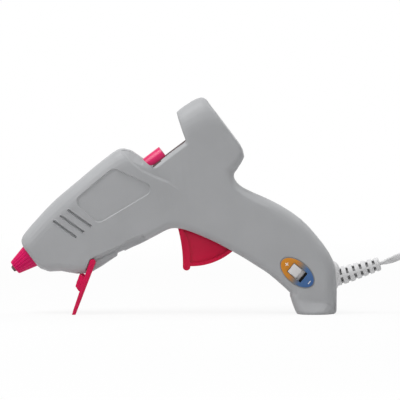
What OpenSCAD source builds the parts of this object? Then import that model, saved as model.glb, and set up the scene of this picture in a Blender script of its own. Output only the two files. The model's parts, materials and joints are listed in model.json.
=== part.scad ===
// Mini dual-temperature hot glue gun: two moulded shells round a slanted feed line, with a heated
// nozzle, a sliding feed carriage, a trigger, a folding stand, a heat switch and a mains cord.
// Millimetres, +Z up, nozzle towards -X, the left side towards -Y, standing on its foot and stand.

/* [Body] */
// Width of the front body
front_w = 30; // [28:0.5:34]
// Width of the waist and the handle
handle_w = 26; // [25:0.5:29]
// Width of the flared foot
foot_w = 32; // [29:0.5:36]
// Wall of the shells
wall = 2; // [1.6:0.1:2.4]
// Depth of the side panel and of the vent grooves
relief_depth = 0.6; // [0.3:0.1:1]
// Width of a vent groove
vent_w = 1.6; // [1.2:0.1:2.2]

/* [Feed line] */
// Diameter of a glue stick
stick_d = 7.2; // [6.6:0.1:7.4]
// Outside diameter of the feed carriage
collar_d = 12; // [11.4:0.1:12.6]
// Length of the carriage tube
collar_l = 22; // [18:0.5:24]
// Way that one pull feeds the stick
feed_travel = 9; // [6:0.5:10]
// Outside diameter of the melt chamber
chamber_d = 13.2; // [12:0.1:14]
// Length of the melt chamber
chamber_l = 46; // [45:0.5:48]
// Diameter of the nozzle sleeve at its base
sleeve_base_d = 14.3; // [13:0.1:14.6]
// Diameter of the nozzle sleeve at its end
sleeve_end_d = 8.2; // [7:0.1:9.5]
// Length of the nozzle sleeve in front of the shells
sleeve_l = 12; // [10:0.5:13]
// Diameter of the nozzle tip where it comes out of the sleeve
tip_d = 4.6; // [3.8:0.1:5]
// Length of the nozzle tip in front of the sleeve
tip_l = 1.5; // [0.8:0.1:2.5]

/* [Trigger] */
// Width of the trigger's finger lip
trigger_w = 13; // [11:0.5:13.5]
// Thickness of the lip from front to back
lip_t = 4.5; // [3.5:0.1:5.5]
// Radius of the trigger's lower rim about its pivot
trigger_r = 37.8; // [36:0.2:39]
// Diameter of the pivot pin
pivot_d = 4; // [3:0.1:4.4]
// Diameter of the drive pin
drive_d = 3; // [2:0.1:3.2]

/* [Stand] */
// Thickness of a stand leg, across the gun
leg_t = 2.6; // [2:0.1:2.8]
// Width of a stand leg at its pivot, seen from the side
leg_w = 3.6; // [3.2:0.1:3.8]
// Width of a stand leg at its foot
leg_foot_w = 2.2; // [1.8:0.1:2.8]
// Diameter of the stubs that the stand turns on
stub_d = 3; // [2.4:0.1:3.2]

/* [Heat switch] */
// Length of the oval plate
plate_l = 23.8; // [22:0.2:25]
// Width of the oval plate
plate_w = 13.4; // [12.6:0.2:14]
// Thickness of the oval plate
plate_t = 1; // [0.8:0.1:1.4]
// Side of the square slider
slider_w = 6.2; // [5:0.1:6.6]
// Way that the slider travels
slider_travel = 3.6; // [3:0.1:4.2]

/* [Cord] */
// Diameter of the mains cord
cord_d = 3.6; // [3.2:0.1:3.8]
// Diameter of the strain relief at the handle
relief_base_d = 11.5; // [10.5:0.1:12]
// Diameter of the strain relief at its end
relief_end_d = 7.8; // [7.2:0.1:8.6]
// Length of the strain relief's ribbed part
relief_l = 23; // [22:0.2:23.6]
// Diameter of the inner leads
lead_d = 1.8; // [1.4:0.1:2]

/* [Fasteners] */
// Diameter of the shell screws
screw_d = 2.6; // [2:0.1:3]
// Diameter of their heads
screw_head_d = 5; // [4.4:0.1:5.4]

/* [Clearances] */
// Play between pieces that slide on each other, on each side
slide_gap = 0.35; // [0.3:0.05:0.5]
// Play of a pin in its bore, on the radius
pin_gap = 0.05; // [0.02:0.01:0.08]
// Play between fixed pieces, on each side
seat_gap = 0.2; // [0.1:0.05:0.3]
// Play of the glue stick in its bores, on the radius
stick_gap = 0.4; // [0.3:0.05:0.6]

/* [Hidden] */
$fn = 48;

grey = [0.62, 0.62, 0.62];
pink = [0.82, 0.11, 0.36];
steel = [0.7, 0.7, 0.72];
brass = [0.6, 0.52, 0.36];
pale = [0.85, 0.85, 0.85];

// The feed line starts at the middle of the sleeve's end and climbs to the back
feed_x = -95.3;
feed_z = 27.3;
feed_tilt = 37;
function on_feed(s, n) = [feed_x + s * cos(feed_tilt) - n * sin(feed_tilt),
    feed_z + s * sin(feed_tilt) + n * cos(feed_tilt)];

// Half-widths of the body
front_hw = front_w / 2;
handle_hw = handle_w / 2;
foot_hw = foot_w / 2;

// Places along the feed line
stick_r = stick_d / 2 + stick_gap;
collar_r = collar_d / 2;
channel_r = collar_r + slide_gap;
rail_n = -0.6;
slot_s = 102.2;
collar_end_s = 112.8;
chamber_s = 14.3;
chamber_end_s = chamber_s + chamber_l;
chamber_r = chamber_d / 2;
spigot_s = chamber_end_s - 8;
inlet_s = spigot_s + 0.2;
inlet_end_s = inlet_s + 21.5;
back_s = 152.5;
ring_l = 5;
ring_s = back_s - ring_l;

// The trigger turns about this point; a pin on its upper arm drives the carriage
pivot = [10.9, 66.4];
pivot_s = (pivot[0] - feed_x) * cos(feed_tilt) + (pivot[1] - feed_z) * sin(feed_tilt);
pivot_n = (pivot[1] - feed_z) * cos(feed_tilt) - (pivot[0] - feed_x) * sin(feed_tilt);
drive_n = -10.5;
arm_r = drive_n - pivot_n;
drive_s = pivot_s + feed_travel / 2;
arm_l = norm([feed_travel / 2, arm_r]);
pull_deg = 2 * atan2(feed_travel / 2, arm_r);

// The stand turns about this point, and stands at this angle below the horizontal
stand_pivot = [-48.3, 31.6];
stand_deg = 250.2;
fold_deg = 25;
leg_y = front_hw - 2.7;

// The oval plate's middle and the slant of its long axis
plate_x = 74.1;
plate_z = 25.2;
plate_deg = -39;

// The strain relief leaves the handle's back here, climbing
relief_x = 97.6;
relief_z = 22.1;
relief_deg = 13.8;
relief_neck_r = relief_base_d / 2 - 0.6;
bell_r = 9;
bell_l = 3.3;

// Screw bosses, from the nose to the handle's end
bosses = [[-73, 30.8], [-42, 84.5], [-16, 52.5], [47, 66], [79, 42]];

// One rib of the body: top x and z, bottom x and z, half-widths at the top and the bottom, and the
// depth and width of the rounding along its top and bottom edges
fh = front_hw;
hh = handle_hw;
nose_t = on_feed(sleeve_l, 7.6);
nose_b = on_feed(sleeve_l, -7.6);
body_ribs = [
    [nose_t[0], nose_t[1], nose_b[0], nose_b[1], 8.6, 8.6, 4, 4, 4, 4],
    [-91, 42.6, -79.3, 27, fh - 4.6, fh - 4.6, 6, 6, 5, 5],
    [-91, 44.8, -77, 26.3, fh - 3.4, fh - 3.4, 8, 8, 6, 6],
    [-89, 48.4, -74, 25.4, fh - 2.7, fh - 2.7, 9, 8, 6, 6],
    [-80.1, 58.6, -67, 25.8, fh - 1.7, fh - 1.5, 10, 9, 6, 6],
    [-70.5, 68.4, -58, 24.3, fh - 0.8, fh - 0.6, 11, 9, 6, 6],
    [-57, 79.7, -48.5, 25.6, fh, fh, 11, 9, 6, 6],
    [-46, 89, -37.5, 32.6, fh, fh, 11, 9, 5, 5],
    [-38, 95.2, -27.5, 38.9, fh, fh, 11, 9, 5, 5],
    [-33.5, 98.2, -20.5, 42, fh, fh, 11, 9, 5, 5],
    [-29.5, 98.8, -15, 44.8, fh - 0.1, fh, 10, 9, 5, 5],
    [-23.5, 97, -9, 48, fh - 0.3, fh - 0.1, 10, 9, 5, 5],
    [-17.5, 94, -4, 50.6, fh - 0.9, fh - 0.3, 9, 8, 5, 5],
    [-10.5, 97, 1, 51.7, hh + 0.1, fh - 0.8, 6, 6, 5, 5],
    [-1, 104.5, 8, 50.3, hh, hh + 0.5, 5, 5, 5, 5],
    [8, 111, 17, 46.8, hh, hh, 5, 5, 5, 5],
    [20, 108, 26, 42.7, hh, hh, 6, 6, 5, 5],
    [30.5, 94, 33, 38.9, hh, hh, 7, 7, 5, 5],
    [35.9, 81.3, 39, 35.6, hh, hh, 8, 8, 5, 5],
    [42.1, 75.1, 44, 32.6, hh, hh, 8, 8, 5, 5],
    [53, 70.2, 50, 28.8, hh, hh, 8, 8, 5, 5],
    [64.3, 64.6, 56.5, 24.6, hh, hh, 8, 8, 5, 5],
    [76.5, 56.4, 62.5, 19.6, hh, hh, 8, 8, 5, 5],
    [85.7, 46.6, 67, 15.6, hh, hh, 8, 8, 5, 5],
    [93.3, 36.4, 69.8, 12.9, hh, hh, 8, 8, 5, 5],
    [97.2, 27.2, 70.6, 11.2, hh, hh, 8, 8, 5, 5],
    [97.9, 18, 71.4, 9.6, hh, hh, 8, 8, 5, 5],
    [97.9, 10, 72.4, 7, hh, hh, 8, 8, 5, 5]];

hood_back_t = on_feed(back_s, 9.6);
hood_back_b = on_feed(back_s, -22.5);
hood_ribs = [
    [1.7, 120.5, 8.6, 100, hh - 0.7, hh - 0.7, 15, 11.8, 3, 3],
    [3.4, 122.3, 12, 96, hh, hh, 16, 12.4, 3, 3],
    [11.3, 127.7, 22, 90, hh, hh, 17, 12.6, 3, 3],
    [16.4, 129.7, 31, 85.5, hh, hh, 17, 12.6, 3, 3],
    [19, 129, 37.4, 86.8, hh - 0.1, hh - 0.1, 17, 12.4, 4, 4],
    [20.4, 127.7, 42.4, 94.4, hh - 0.6, hh - 0.6, 16, 11.8, 5, 5],
    [hood_back_t[0], hood_back_t[1], hood_back_b[0], hood_back_b[1], hh - 1.5, hh - 1.5, 14, 10.5, 4, 4]];

flare = foot_hw - hh;
foot_ribs = [
    [97.8, 13.6, 70.2, 13.2, hh - 0.2, hh - 0.2, 7, 7, 5, 5],
    [97.9, 8.6, 69.8, 11.2, hh - 0.1, hh - 0.1, 7, 8, 5, 6],
    [97.9, 5.4, 70.4, 9.2, hh + flare * 0.1, hh + flare * 0.1, 8, 9, 6, 7],
    [97.9, 3.4, 71.6, 5.4, hh + flare * 0.6, hh + flare * 0.6, 10, 11, 7, 9],
    [97.8, 1.4, 73.2, 1.6, foot_hw, foot_hw, 12, 13, 8, 10],
    [97, 0, 74.1, 0, foot_hw - 0.5, foot_hw - 0.5, 12, 13, 8, 10]];

// A value on the smooth curve through b and c, whose neighbours are a and d
function between(a, b, c, d, t) = 0.5 * (2 * b + (c - a) * t + (2 * a - 5 * b + 4 * c - d) * t * t
    + (3 * b - a - 3 * c + d) * t * t * t);

function smoothed(list, parts) = let (last = len(list) - 1) concat(
    [for (i = [0 : last - 1])
        for (k = [0 : parts - 1])
            between(list[max(i - 1, 0)], list[i], list[i + 1], list[min(i + 2, last)], k / parts)],
    [list[last]]);

// A rib drawn in by t on every edge
function inset(r, t) = let (
    top = [r[0], r[1]],
    bottom = [r[2], r[3]],
    down = (bottom - top) / norm(bottom - top),
    a = top + t * down,
    b = bottom - t * down)
    [a[0], a[1], b[0], b[1], r[4] - t, r[5] - t,
        max(r[6] - t, 0.8), max(r[7] - t, 0.8), max(r[8] - t, 0.8), max(r[9] - t, 0.8)];

// The points of a rib's left half, from its top edge round the side to its bottom edge; it reaches past
// the middle plane, where the halves are cut off
function half_rib(r, steps, past) = let (
    top = [r[0], r[1]],
    bottom = [r[2], r[3]],
    length = norm(bottom - top),
    down = (bottom - top) / length,
    corners = concat(
        [for (i = [0 : steps]) let (a = 90 * i / steps)
            [r[6] * (1 - cos(a)), r[4] - r[7] * (1 - sin(a))]],
        [for (i = [steps : -1 : 0]) let (a = 90 * i / steps)
            [length - r[8] * (1 - cos(a)), r[5] - r[9] * (1 - sin(a))]]))
    [for (p = concat([[0, -past]], corners, [[length, -past]]))
        let (q = top + p[0] * down) [q[0], -p[1], q[1]]];

// A closed skin over rings of points that all have the same count
module skin(rings) {
    count = len(rings[0]);
    last = len(rings) - 1;
    polyhedron(
        points = [for (ring = rings) each ring],
        faces = concat(
            [[for (j = [0 : count - 1]) j]],
            [[for (j = [count - 1 : -1 : 0]) last * count + j]],
            [for (i = [0 : last - 1])
                for (j = [0 : count - 1])
                    let (a = i * count + j, b = i * count + (j + 1) % count)
                        each [[a, a + count, b], [b, a + count, b + count]]]),
        convexity = 8);
}

module half_loft(ribs, parts, steps, past = 1) {
    skin([for (r = smoothed(ribs, parts)) half_rib(r, steps, past)]);
}

// Local Z runs along the feed line, local X points down from it
module at_feed(s, n = 0) {
    p = on_feed(s, n);
    translate([p[0], 0, p[1]]) rotate([0, 90 - feed_tilt, 0]) children();
}

// Local Z runs along the strain relief, local X points down from it
module at_relief(s = 0) {
    translate([relief_x, 0, relief_z]) rotate([0, 90 - relief_deg, 0]) translate([0, 0, s]) children();
}

// A flat outline in X and Z, made solid from y0 to y1
module side_plate(points, y0, y1) {
    translate([0, y1, 0]) rotate([90, 0, 0]) linear_extrude(y1 - y0) polygon(points);
}

// A round bar across the gun at x and z, from y0 to y1
module cross_bar(p, r, y0, y1) {
    translate([p[0], y1, p[1]]) rotate([90, 0, 0]) cylinder(r = r, h = y1 - y0);
}

// A straight groove with round ends in the left side, from a to b
module side_slot(a, b, w, y0, y1) {
    hull() {
        cross_bar(a, w / 2, y0, y1, $fn = 16);
        cross_bar(b, w / 2, y0, y1, $fn = 16);
    }
}

// The open slot above the rails, between the front body and the hood
slot_outline = [on_feed(slot_s + 2.4, rail_n), on_feed(slot_s + 0.5, rail_n + 0.7),
    on_feed(slot_s - 0.4, rail_n + 2.4), on_feed(slot_s - 1.4, 6.4), on_feed(slot_s - 3.9, 14),
    on_feed(slot_s, 40), on_feed(slot_s + 44, 40), on_feed(slot_s + 44, rail_n)];
rail_edge = 1.6;

module half_body(t) {
    difference() {
        half_loft([for (r = body_ribs) inset(r, t)], 2, 6);
        side_plate(slot_outline, -40, 4);
        at_feed(slot_s + 0.6, rail_n) translate([0, -handle_hw, 0]) rotate([0, 0, 45])
            translate([-rail_edge, -rail_edge, 0]) cube([2 * rail_edge, 2 * rail_edge, 44]);
    }
}

module half_outer() {
    half_body(0);
    half_loft(hood_ribs, 2, 6, 1.2);
    half_loft(foot_ribs, 2, 5, 1.4);
}

// The room inside the middle of the walls, that bosses and ribs reach out to
module half_room() {
    for (ribs = [body_ribs, hood_ribs, foot_ribs])
        half_loft([for (r = ribs) inset(r, wall * 0.45)], 1, 4);
}

// The hollow of the left half. In front it narrows downwards, to leave a wall beside the folded stand.
cavity_t = on_feed(sleeve_l + wall + 0.3, 9.4);
cavity_b = on_feed(sleeve_l + wall + 0.3, -9.4);
body_cavity = concat(
    [[cavity_t[0], cavity_t[1], cavity_b[0], cavity_b[1], 10, 9, 5, 5, 5, 5]],
    [for (i = [3 : len(body_ribs) - 1]) let (r = inset(body_ribs[i], wall))
        [for (k = [0 : 9]) k == 5 && r[2] < 3 ? min(r[5], leg_y - slide_gap - wall) : r[k]]]);
hood_end_t = on_feed(back_s - wall - 0.2, 6.5);
hood_end_b = on_feed(back_s - wall - 0.2, -20);
hood_cavity = [inset(hood_ribs[1], wall), inset(hood_ribs[2], wall),
    [17, 126.8, 36, 89.4, hh - wall, hh - wall, 15, 10.4, 3, 3],
    [hood_end_t[0], hood_end_t[1], hood_end_b[0], hood_end_b[1], hh - wall - 0.6, hh - wall - 0.6,
        12, 9.5, 3, 3]];
foot_cavity = concat(
    [for (i = [0 : 3]) inset(foot_ribs[i], wall)],
    [[95, wall, 76, wall, foot_hw - wall - 2.4, foot_hw - wall - 2.4, 7, 9, 6, 8]]);

module half_cavity() {
    difference() {
        union() {
            half_loft(body_cavity, 1, 3, 2);
            half_loft(hood_cavity, 1, 3, 2.4);
            half_loft(foot_cavity, 1, 3, 2.8);
        }
        side_plate([on_feed(slot_s - 2, rail_n - wall), on_feed(slot_s - 2, rail_n + 1),
            on_feed(slot_s + 26, rail_n + 1), on_feed(slot_s + 26, rail_n - wall)], -40, 1);
        side_plate([on_feed(slot_s, rail_n - wall), on_feed(slot_s - 1.4, 6.4), on_feed(slot_s - 4.2, 15),
            on_feed(slot_s - 4.2 - wall, 15), on_feed(slot_s - 1.4 - wall, 6.4),
            on_feed(slot_s - wall, rail_n - wall)], -40, 1);
    }
}

// A rib across the shell that holds a round piece of radius r on the feed line
module cradle(s, r) {
    at_feed(s) difference() {
        translate([-9, -20, 0]) cube([17, 20, wall]);
        translate([0, 0, -1]) cylinder(r = r + seat_gap, h = wall + 2);
    }
}

// The half-round trough that the carriage slides in, open below for its lug
module trough() {
    at_feed(slot_s - 14) difference() {
        intersection() {
            cylinder(r = channel_r + 1.5, h = 38);
            translate([-rail_n, -20, -1]) cube([20, 20 - lug_w / 2 - 0.7, 40]);
        }
        translate([0, 0, -1]) cylinder(r = channel_r, h = 40);
    }
}

spring_n = -10.6;
spring_seat_r = 1.5;
spring_end_s = 141;
lug_w = 5.4;
lug_l = 8;

module half_inside() {
    for (b = bosses)
        hull() {
            cross_bar(b, screw_d / 2 + 1.8, -0.5, 0, $fn = 20);
            cross_bar(b, screw_d / 2 + 2.4, -16, -15, $fn = 20);
        }
    cross_bar(pivot, pivot_d / 2 + 2.4, -20, -trigger_w / 2 - slide_gap);
    cross_bar(stand_pivot, stub_d / 2 + 2, -20, 4.2 - leg_y);
    cradle(sleeve_l + wall + 2.9, chamber_r);
    cradle(spigot_s - wall - 0.8, chamber_r);
    cradle(inlet_end_s - 4.4, chamber_r + 0.6);
    trough();
    at_feed(spring_end_s - 2.5, spring_n) cylinder(r = spring_seat_r, h = 4);
    at_feed(spring_end_s + 1, spring_n) translate([-3, -20, 0]) cube([6, 20, wall]);
}

// The stand's folded leg lies along e from its pivot, f below that line
function folded(e, f) = [stand_pivot[0] + e * cos(fold_deg) + f * sin(fold_deg),
    stand_pivot[1] + e * sin(fold_deg) - f * cos(fold_deg)];
function stood(d, f) = [stand_pivot[0] + d * cos(stand_deg) + f * sin(stand_deg),
    stand_pivot[1] + d * sin(stand_deg) - f * cos(stand_deg)];
leg_l = stand_pivot[1] / -sin(stand_deg);
leg_room = leg_w / 2 + slide_gap + 0.1;
foot_room = leg_foot_w / 2 + slide_gap + 0.1;
web_d = 10.4;
web_end_d = 19.6;
web_f = 4.8;
bar_d = 15.6;
bar_f = 2;
bar_end_d = 17.2;
eye_r = leg_w / 2;

module stand_room() {
    recess = leg_y - slide_gap;
    side_plate([stood(0, leg_room), stood(30, leg_room), [-60, -5], [0, -5], folded(leg_l + 1, 20),
        folded(leg_l + 1, -foot_room), folded(0, -leg_room)], -40, -recess);
    cross_bar(stand_pivot, eye_r + slide_gap, -40, -recess);
    side_plate([folded(bar_d - 0.9, 4.6), folded(bar_d - 0.35, bar_f - 0.5),
        folded(web_end_d + 0.5, bar_f - 0.5), folded(web_end_d + 1, 3.2), folded(web_end_d + 2, 9),
        folded(12, 9)], -40, 1);
    cross_bar(stand_pivot, stub_d / 2 + pin_gap, -40, 3.4 - leg_y);
}

// The side panel's corner centres and the ends of the vent grooves
panel = [[-35.4, 83.4], [-17.8, 75.4], [-44.3, 59.6], [-53.6, 68]];
vents = [[[-62.8, 62.6], [-49.7, 53.3]], [[-67.3, 59.2], [-54.2, 49.9]], [[-71.4, 56], [-58.6, 46.7]]];

module half_cuts() {
    at_feed(sleeve_l - 2) cylinder(r = sleeve_base_d / 2 - 0.2 + seat_gap, h = wall + 4);
    at_feed(slot_s - 18) cylinder(r = channel_r, h = 52);
    at_feed(ring_s - 4) cylinder(r = stick_r + 2.8 + seat_gap, h = 12);
    intersection() {
        cross_bar(pivot, trigger_r + slide_gap + 0.3, -trigger_w / 2 - slide_gap, 1, $fn = 72);
        translate([1.6, -20, 20]) cube([60, 22, 38]);
    }
    cross_bar(pivot, pivot_d / 2 + pin_gap, 1 - handle_hw, 1);
    stand_room();
    at_relief(-4) cylinder(r = relief_neck_r + seat_gap, h = 8);
    difference() {
        hull() for (p = panel) cross_bar(p, 4, -30, -2, $fn = 24);
        half_body(relief_depth);
    }
    difference() {
        for (v = vents) side_slot(v[0], v[1], vent_w, -30, -2);
        half_body(relief_depth * 1.6);
    }
}

module half_shell() {
    difference() {
        union() {
            difference() {
                half_outer();
                half_cavity();
            }
            intersection() {
                half_room();
                half_inside($fn = 24);
            }
        }
        half_cuts($fn = 28);
        translate([-150, 0, -20]) cube([300, 40, 200]);
    }
}

// A point on the oval plate: a along its long axis, b across it
function on_plate(a, b) = [plate_x + a * cos(plate_deg) - b * sin(plate_deg),
    plate_z + a * sin(plate_deg) + b * cos(plate_deg)];
function plate_box(a, l, w) = [on_plate(a - l / 2, -w / 2), on_plate(a + l / 2, -w / 2),
    on_plate(a + l / 2, w / 2), on_plate(a - l / 2, w / 2)];
function plate_oval(grow) = [for (i = [0 : 47])
    on_plate((plate_l / 2 + grow) * cos(i * 7.5), (plate_w / 2 + grow) * sin(i * 7.5))];
plate_proud = 0.3;
plate_seat_y = handle_hw + plate_proud - plate_t;
window_l = slider_w + slider_travel + 2 * slide_gap;
window_w = slider_w + 2 * slide_gap;
slider_flange_y = handle_hw - wall - 0.3;
switch_y = slider_flange_y - 1.3;
switch_l = 21;
switch_w = 9;
switch_h = 6;

// A point on the strain relief's line, and the places of the cord clamp
function on_relief(s, n) = [relief_x + s * cos(relief_deg) - n * sin(relief_deg),
    relief_z + s * sin(relief_deg) + n * cos(relief_deg)];
cord_r = cord_d / 2;
clamp_s = -10;
clamp_n = 5.2;
clamp_screw_r = 1;

module left_shell() {
    color(grey) difference() {
        union() {
            half_shell();
            intersection() {
                half_room();
                union() {
                    for (n = [-clamp_n, clamp_n])
                        cross_bar(on_relief(clamp_s, n), 2.4, -20, -cord_r - 0.1, $fn = 20);
                    for (a = [-1, 1])
                        side_plate(plate_box(a * (switch_l / 2 + seat_gap + 0.7), 1.4, switch_w),
                            -20, 3 - switch_y);
                }
            }
        }
        for (b = bosses) cross_bar(b, screw_d / 2 + 0.05, -screw_reach - 1, 1, $fn = 20);
        for (n = [-clamp_n, clamp_n])
            cross_bar(on_relief(clamp_s, n), clamp_screw_r + 0.05, -8, 1, $fn = 20);
        side_plate(plate_oval(0.15), -30, -plate_seat_y);
        side_plate(plate_box(0, window_l, window_w), -30, 1 - slider_flange_y);
    }
}

screw_seat_y = 6;
screw_reach = 8;
screw_head_t = 2;

module right_shell() {
    color(grey) difference() {
        mirror([0, 1, 0]) half_shell();
        for (b = bosses) {
            cross_bar(b, screw_d / 2 + seat_gap, -1, 20, $fn = 20);
            cross_bar(b, screw_head_d / 2 + seat_gap, screw_seat_y, 30, $fn = 24);
        }
    }
}

module shell_screws() {
    color(steel) for (b = bosses) difference() {
        union() {
            cross_bar(b, screw_d / 2, -screw_reach, screw_seat_y + 0.3);
            cross_bar(b, screw_head_d / 2, screw_seat_y, screw_seat_y + screw_head_t);
        }
        for (turn = [0, 90])
            translate([b[0], screw_seat_y + screw_head_t, b[1]]) rotate([0, turn, 0])
                cube([screw_head_d * 0.6, screw_head_t, 0.7], center = true);
    }
}

module nozzle_tip() {
    r = tip_d / 2;
    color(brass) at_feed(0) rotate_extrude() polygon([[0.8, -tip_l], [r - 0.7, -tip_l], [r, 0],
        [r, 3.5], [tip_base_r, tip_cone_s], [tip_base_r, chamber_s - 0.1], [3.4, chamber_s - 0.1],
        [3.4, 20], [1.8, 20],
        [1.8, 6], [0.8, 4]]);
}

rib_count = 16;
flange_t = 1.8;
tip_base_r = 5.2;
tip_cone_s = 8;

module nozzle_sleeve() {
    base = sleeve_base_d / 2;
    end = sleeve_end_d / 2;
    lean = atan2(base - end, sleeve_l);
    flange_s = sleeve_l + wall + 0.5;
    color(pink) at_feed(0) difference() {
        union() {
            cylinder(r1 = end - 0.5, r2 = base - 0.5, h = sleeve_l);
            cylinder(r = end, h = 1.2);
            translate([0, 0, sleeve_l - 1.6]) cylinder(r1 = base - 0.4, r2 = base, h = 1.6);
            translate([0, 0, sleeve_l - 0.1]) cylinder(r = base - 0.2, h = flange_s - sleeve_l + 0.2);
            translate([0, 0, flange_s]) cylinder(r = base + 1.4, h = flange_t);
            for (i = [0 : rib_count - 1])
                rotate([0, 0, (i + 0.5) * 360 / rib_count]) translate([end - 1, -0.5, 0.2])
                    rotate([0, lean, 0]) cube([1, 1, sleeve_l - 0.9]);
        }
        translate([0, 0, -1]) cylinder(r = tip_d / 2 + seat_gap, h = 6);
        translate([0, 0, 3]) cylinder(r1 = tip_d / 2 + seat_gap, r2 = tip_base_r + seat_gap,
            h = tip_cone_s - 3.4);
        translate([0, 0, tip_cone_s - 0.5]) cylinder(r = tip_base_r + seat_gap, h = 20);
    }
}

chamber_nose_r = tip_base_r;
chamber_neck_s = 17;
spigot_r = 5.5;
pad_s = 24;
pad_l = 24;
pad_hw = 7.2;
pad_n = chamber_r + 1.9;

module melt_chamber() {
    color(steel) at_feed(0) difference() {
        union() {
            translate([0, 0, chamber_s]) cylinder(r = chamber_nose_r, h = 4);
            translate([0, 0, chamber_neck_s]) cylinder(r = chamber_r, h = spigot_s - chamber_neck_s);
            translate([0, 0, spigot_s - 1]) cylinder(r = spigot_r, h = chamber_end_s - spigot_s + 1);
            translate([pad_n - 3.5, -pad_hw, pad_s]) cube([3.5, 2 * pad_hw, pad_l]);
        }
        translate([0, 0, chamber_s - 1]) cylinder(r = 3.4 + 0.1, h = 21.2 - chamber_s);
        translate([0, 0, 20]) cylinder(r1 = 1.8, r2 = stick_r + 0.1, h = 6);
        translate([0, 0, 25.9]) cylinder(r = stick_r + 0.1, h = chamber_end_s - 20);
    }
}

// The heater lies in layers under the chamber's pad
layer_gap = 0.1;
pill_hw = 5;
pill_l = 9;
pill_gap = 1;
contact_hw = 5.5;
tab_w = 3;
tab_y = 2.5;
film_hw = 6.6;
contact_t = 0.5;
pill_t = 2;
film_t = 0.3;
clip_t = 0.8;
contact_a = pad_n + layer_gap;
pill_n = contact_a + contact_t + layer_gap;
contact_b = pill_n + pill_t + layer_gap;
film_n = contact_b + contact_t + layer_gap;
clip_n = film_n + film_t + layer_gap;

module heater_pills() {
    color([0.3, 0.3, 0.33]) at_feed(pad_s + 3)
        for (i = [0, 1])
            translate([pill_n, -pill_hw, i * (pill_l + pill_gap)]) cube([pill_t, 2 * pill_hw, pill_l]);
}

module heater_contacts() {
    color(steel) at_feed(pad_s + 2)
        for (c = [[contact_a, 1], [contact_b, -1]]) {
            translate([c[0], -contact_hw, 0]) cube([contact_t, 2 * contact_hw, pad_l - 3.5]);
            translate([c[0], c[1] * tab_y - tab_w / 2, 0]) cube([contact_t, tab_w, pad_l]);
        }
}

module heater_film() {
    color([0.75, 0.5, 0.15]) at_feed(pad_s + 1) translate([film_n, -film_hw, 0])
        cube([film_t, 2 * film_hw, pad_l - 2]);
}

module heater_clip() {
    side = pad_hw + 0.25;
    color(steel) at_feed(pad_s + 4) {
        translate([clip_n, -side - clip_t, 0]) cube([clip_t, 2 * (side + clip_t), pad_l - 8]);
        for (y = [-side - clip_t, side])
            translate([pad_n - 4.5, y, 0]) cube([clip_n + clip_t - pad_n + 4.5, clip_t, pad_l - 8]);
        for (y = [-side - clip_t, side - 1.6])
            translate([pad_n - 4.5, y, 0]) cube([clip_t, 1.6 + clip_t, pad_l - 8]);
    }
}

inlet_r = chamber_r + 0.6;

module inlet_sleeve() {
    color([0.75, 0.3, 0.2]) at_feed(inlet_s) difference() {
        union() {
            cylinder(r = inlet_r, h = inlet_end_s - inlet_s);
            translate([0, 0, inlet_end_s - inlet_s - 2]) cylinder(r = inlet_r + 1.3, h = 2);
        }
        translate([0, 0, -1]) cylinder(r = spigot_r + 0.1, h = chamber_end_s - inlet_s + 1.2);
        translate([0, 0, 1]) cylinder(r = stick_r + 0.1, h = 40);
    }
}

module sleeve_band() {
    color(steel) at_feed(inlet_s + 2.5) difference() {
        union() {
            cylinder(r = inlet_r + 0.9, h = 3);
            translate([-inlet_r - 3, -1.4, 0.4]) cube([4, 2.8, 2.2]);
        }
        translate([0, 0, -1]) cylinder(r = inlet_r + 0.1, h = 5);
    }
}

module inlet_ring() {
    r = stick_r + 2.8;
    color(grey) at_feed(ring_s) difference() {
        union() {
            cylinder(r = r, h = back_s - ring_s);
            cylinder(r = r + 1, h = back_s - ring_s - wall - 0.5);
        }
        translate([0, 0, -1]) cylinder(r = stick_r, h = 20);
    }
}

bush_r = stick_r + 1;
bush_l = 8;

module feed_carriage() {
    color(pink) at_feed(collar_end_s - collar_l) difference() {
        union() {
            cylinder(r = collar_r, h = collar_l);
            translate([3, -lug_w / 2, drive_s - collar_end_s + collar_l - lug_l / 2])
                cube([-drive_n, lug_w, lug_l]);
            translate([-spring_n, 0, drive_s - collar_end_s + collar_l])
                cylinder(r = spring_seat_r, h = lug_l / 2 + 3.6);
        }
        translate([0, 0, -1]) cylinder(r = stick_r, h = 60);
        translate([0, 0, -1]) cylinder(r = bush_r + 0.05, h = bush_l + 1);
        translate([-drive_n - drive_d / 2 - 0.7, -10,
            drive_s - collar_end_s + collar_l - drive_d / 2 - 0.15])
            cube([20, 20, drive_d + 0.3]);
    }
}

module grip_bush() {
    color([0.2, 0.2, 0.2]) at_feed(collar_end_s - collar_l) difference() {
        cylinder(r = bush_r, h = bush_l - 0.1);
        translate([0, 0, -1]) cylinder(r = stick_d / 2 + 0.1, h = 20);
    }
}

// The lip's front edge is a shallow curve, hollow towards the finger
lip_top = [2.5, 52.1];
lip_h = 23.8;
function lip_x(t) = lip_top[0] + 6.7 * t - 3.6 * t * t;
function lip_edge(back) = [for (i = [0 : 8]) [lip_x(i / 8) + back * min(1, 0.52 + 0.17 * i),
    lip_top[1] - lip_h * i / 8]];
function trigger_arc(r, from, to) = [for (i = [0 : 16]) let (a = from + (to - from) * i / 16)
    pivot + r * [cos(a), sin(a)]];
function turned(list) = [for (i = [len(list) - 1 : -1 : 0]) list[i]];

drive = on_feed(drive_s, drive_n);
cheek_y0 = lug_w / 2 + 0.4;
cheek_y1 = cheek_y0 + 2.4;
cheek_r = drive_d / 2 + 0.9;

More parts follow.
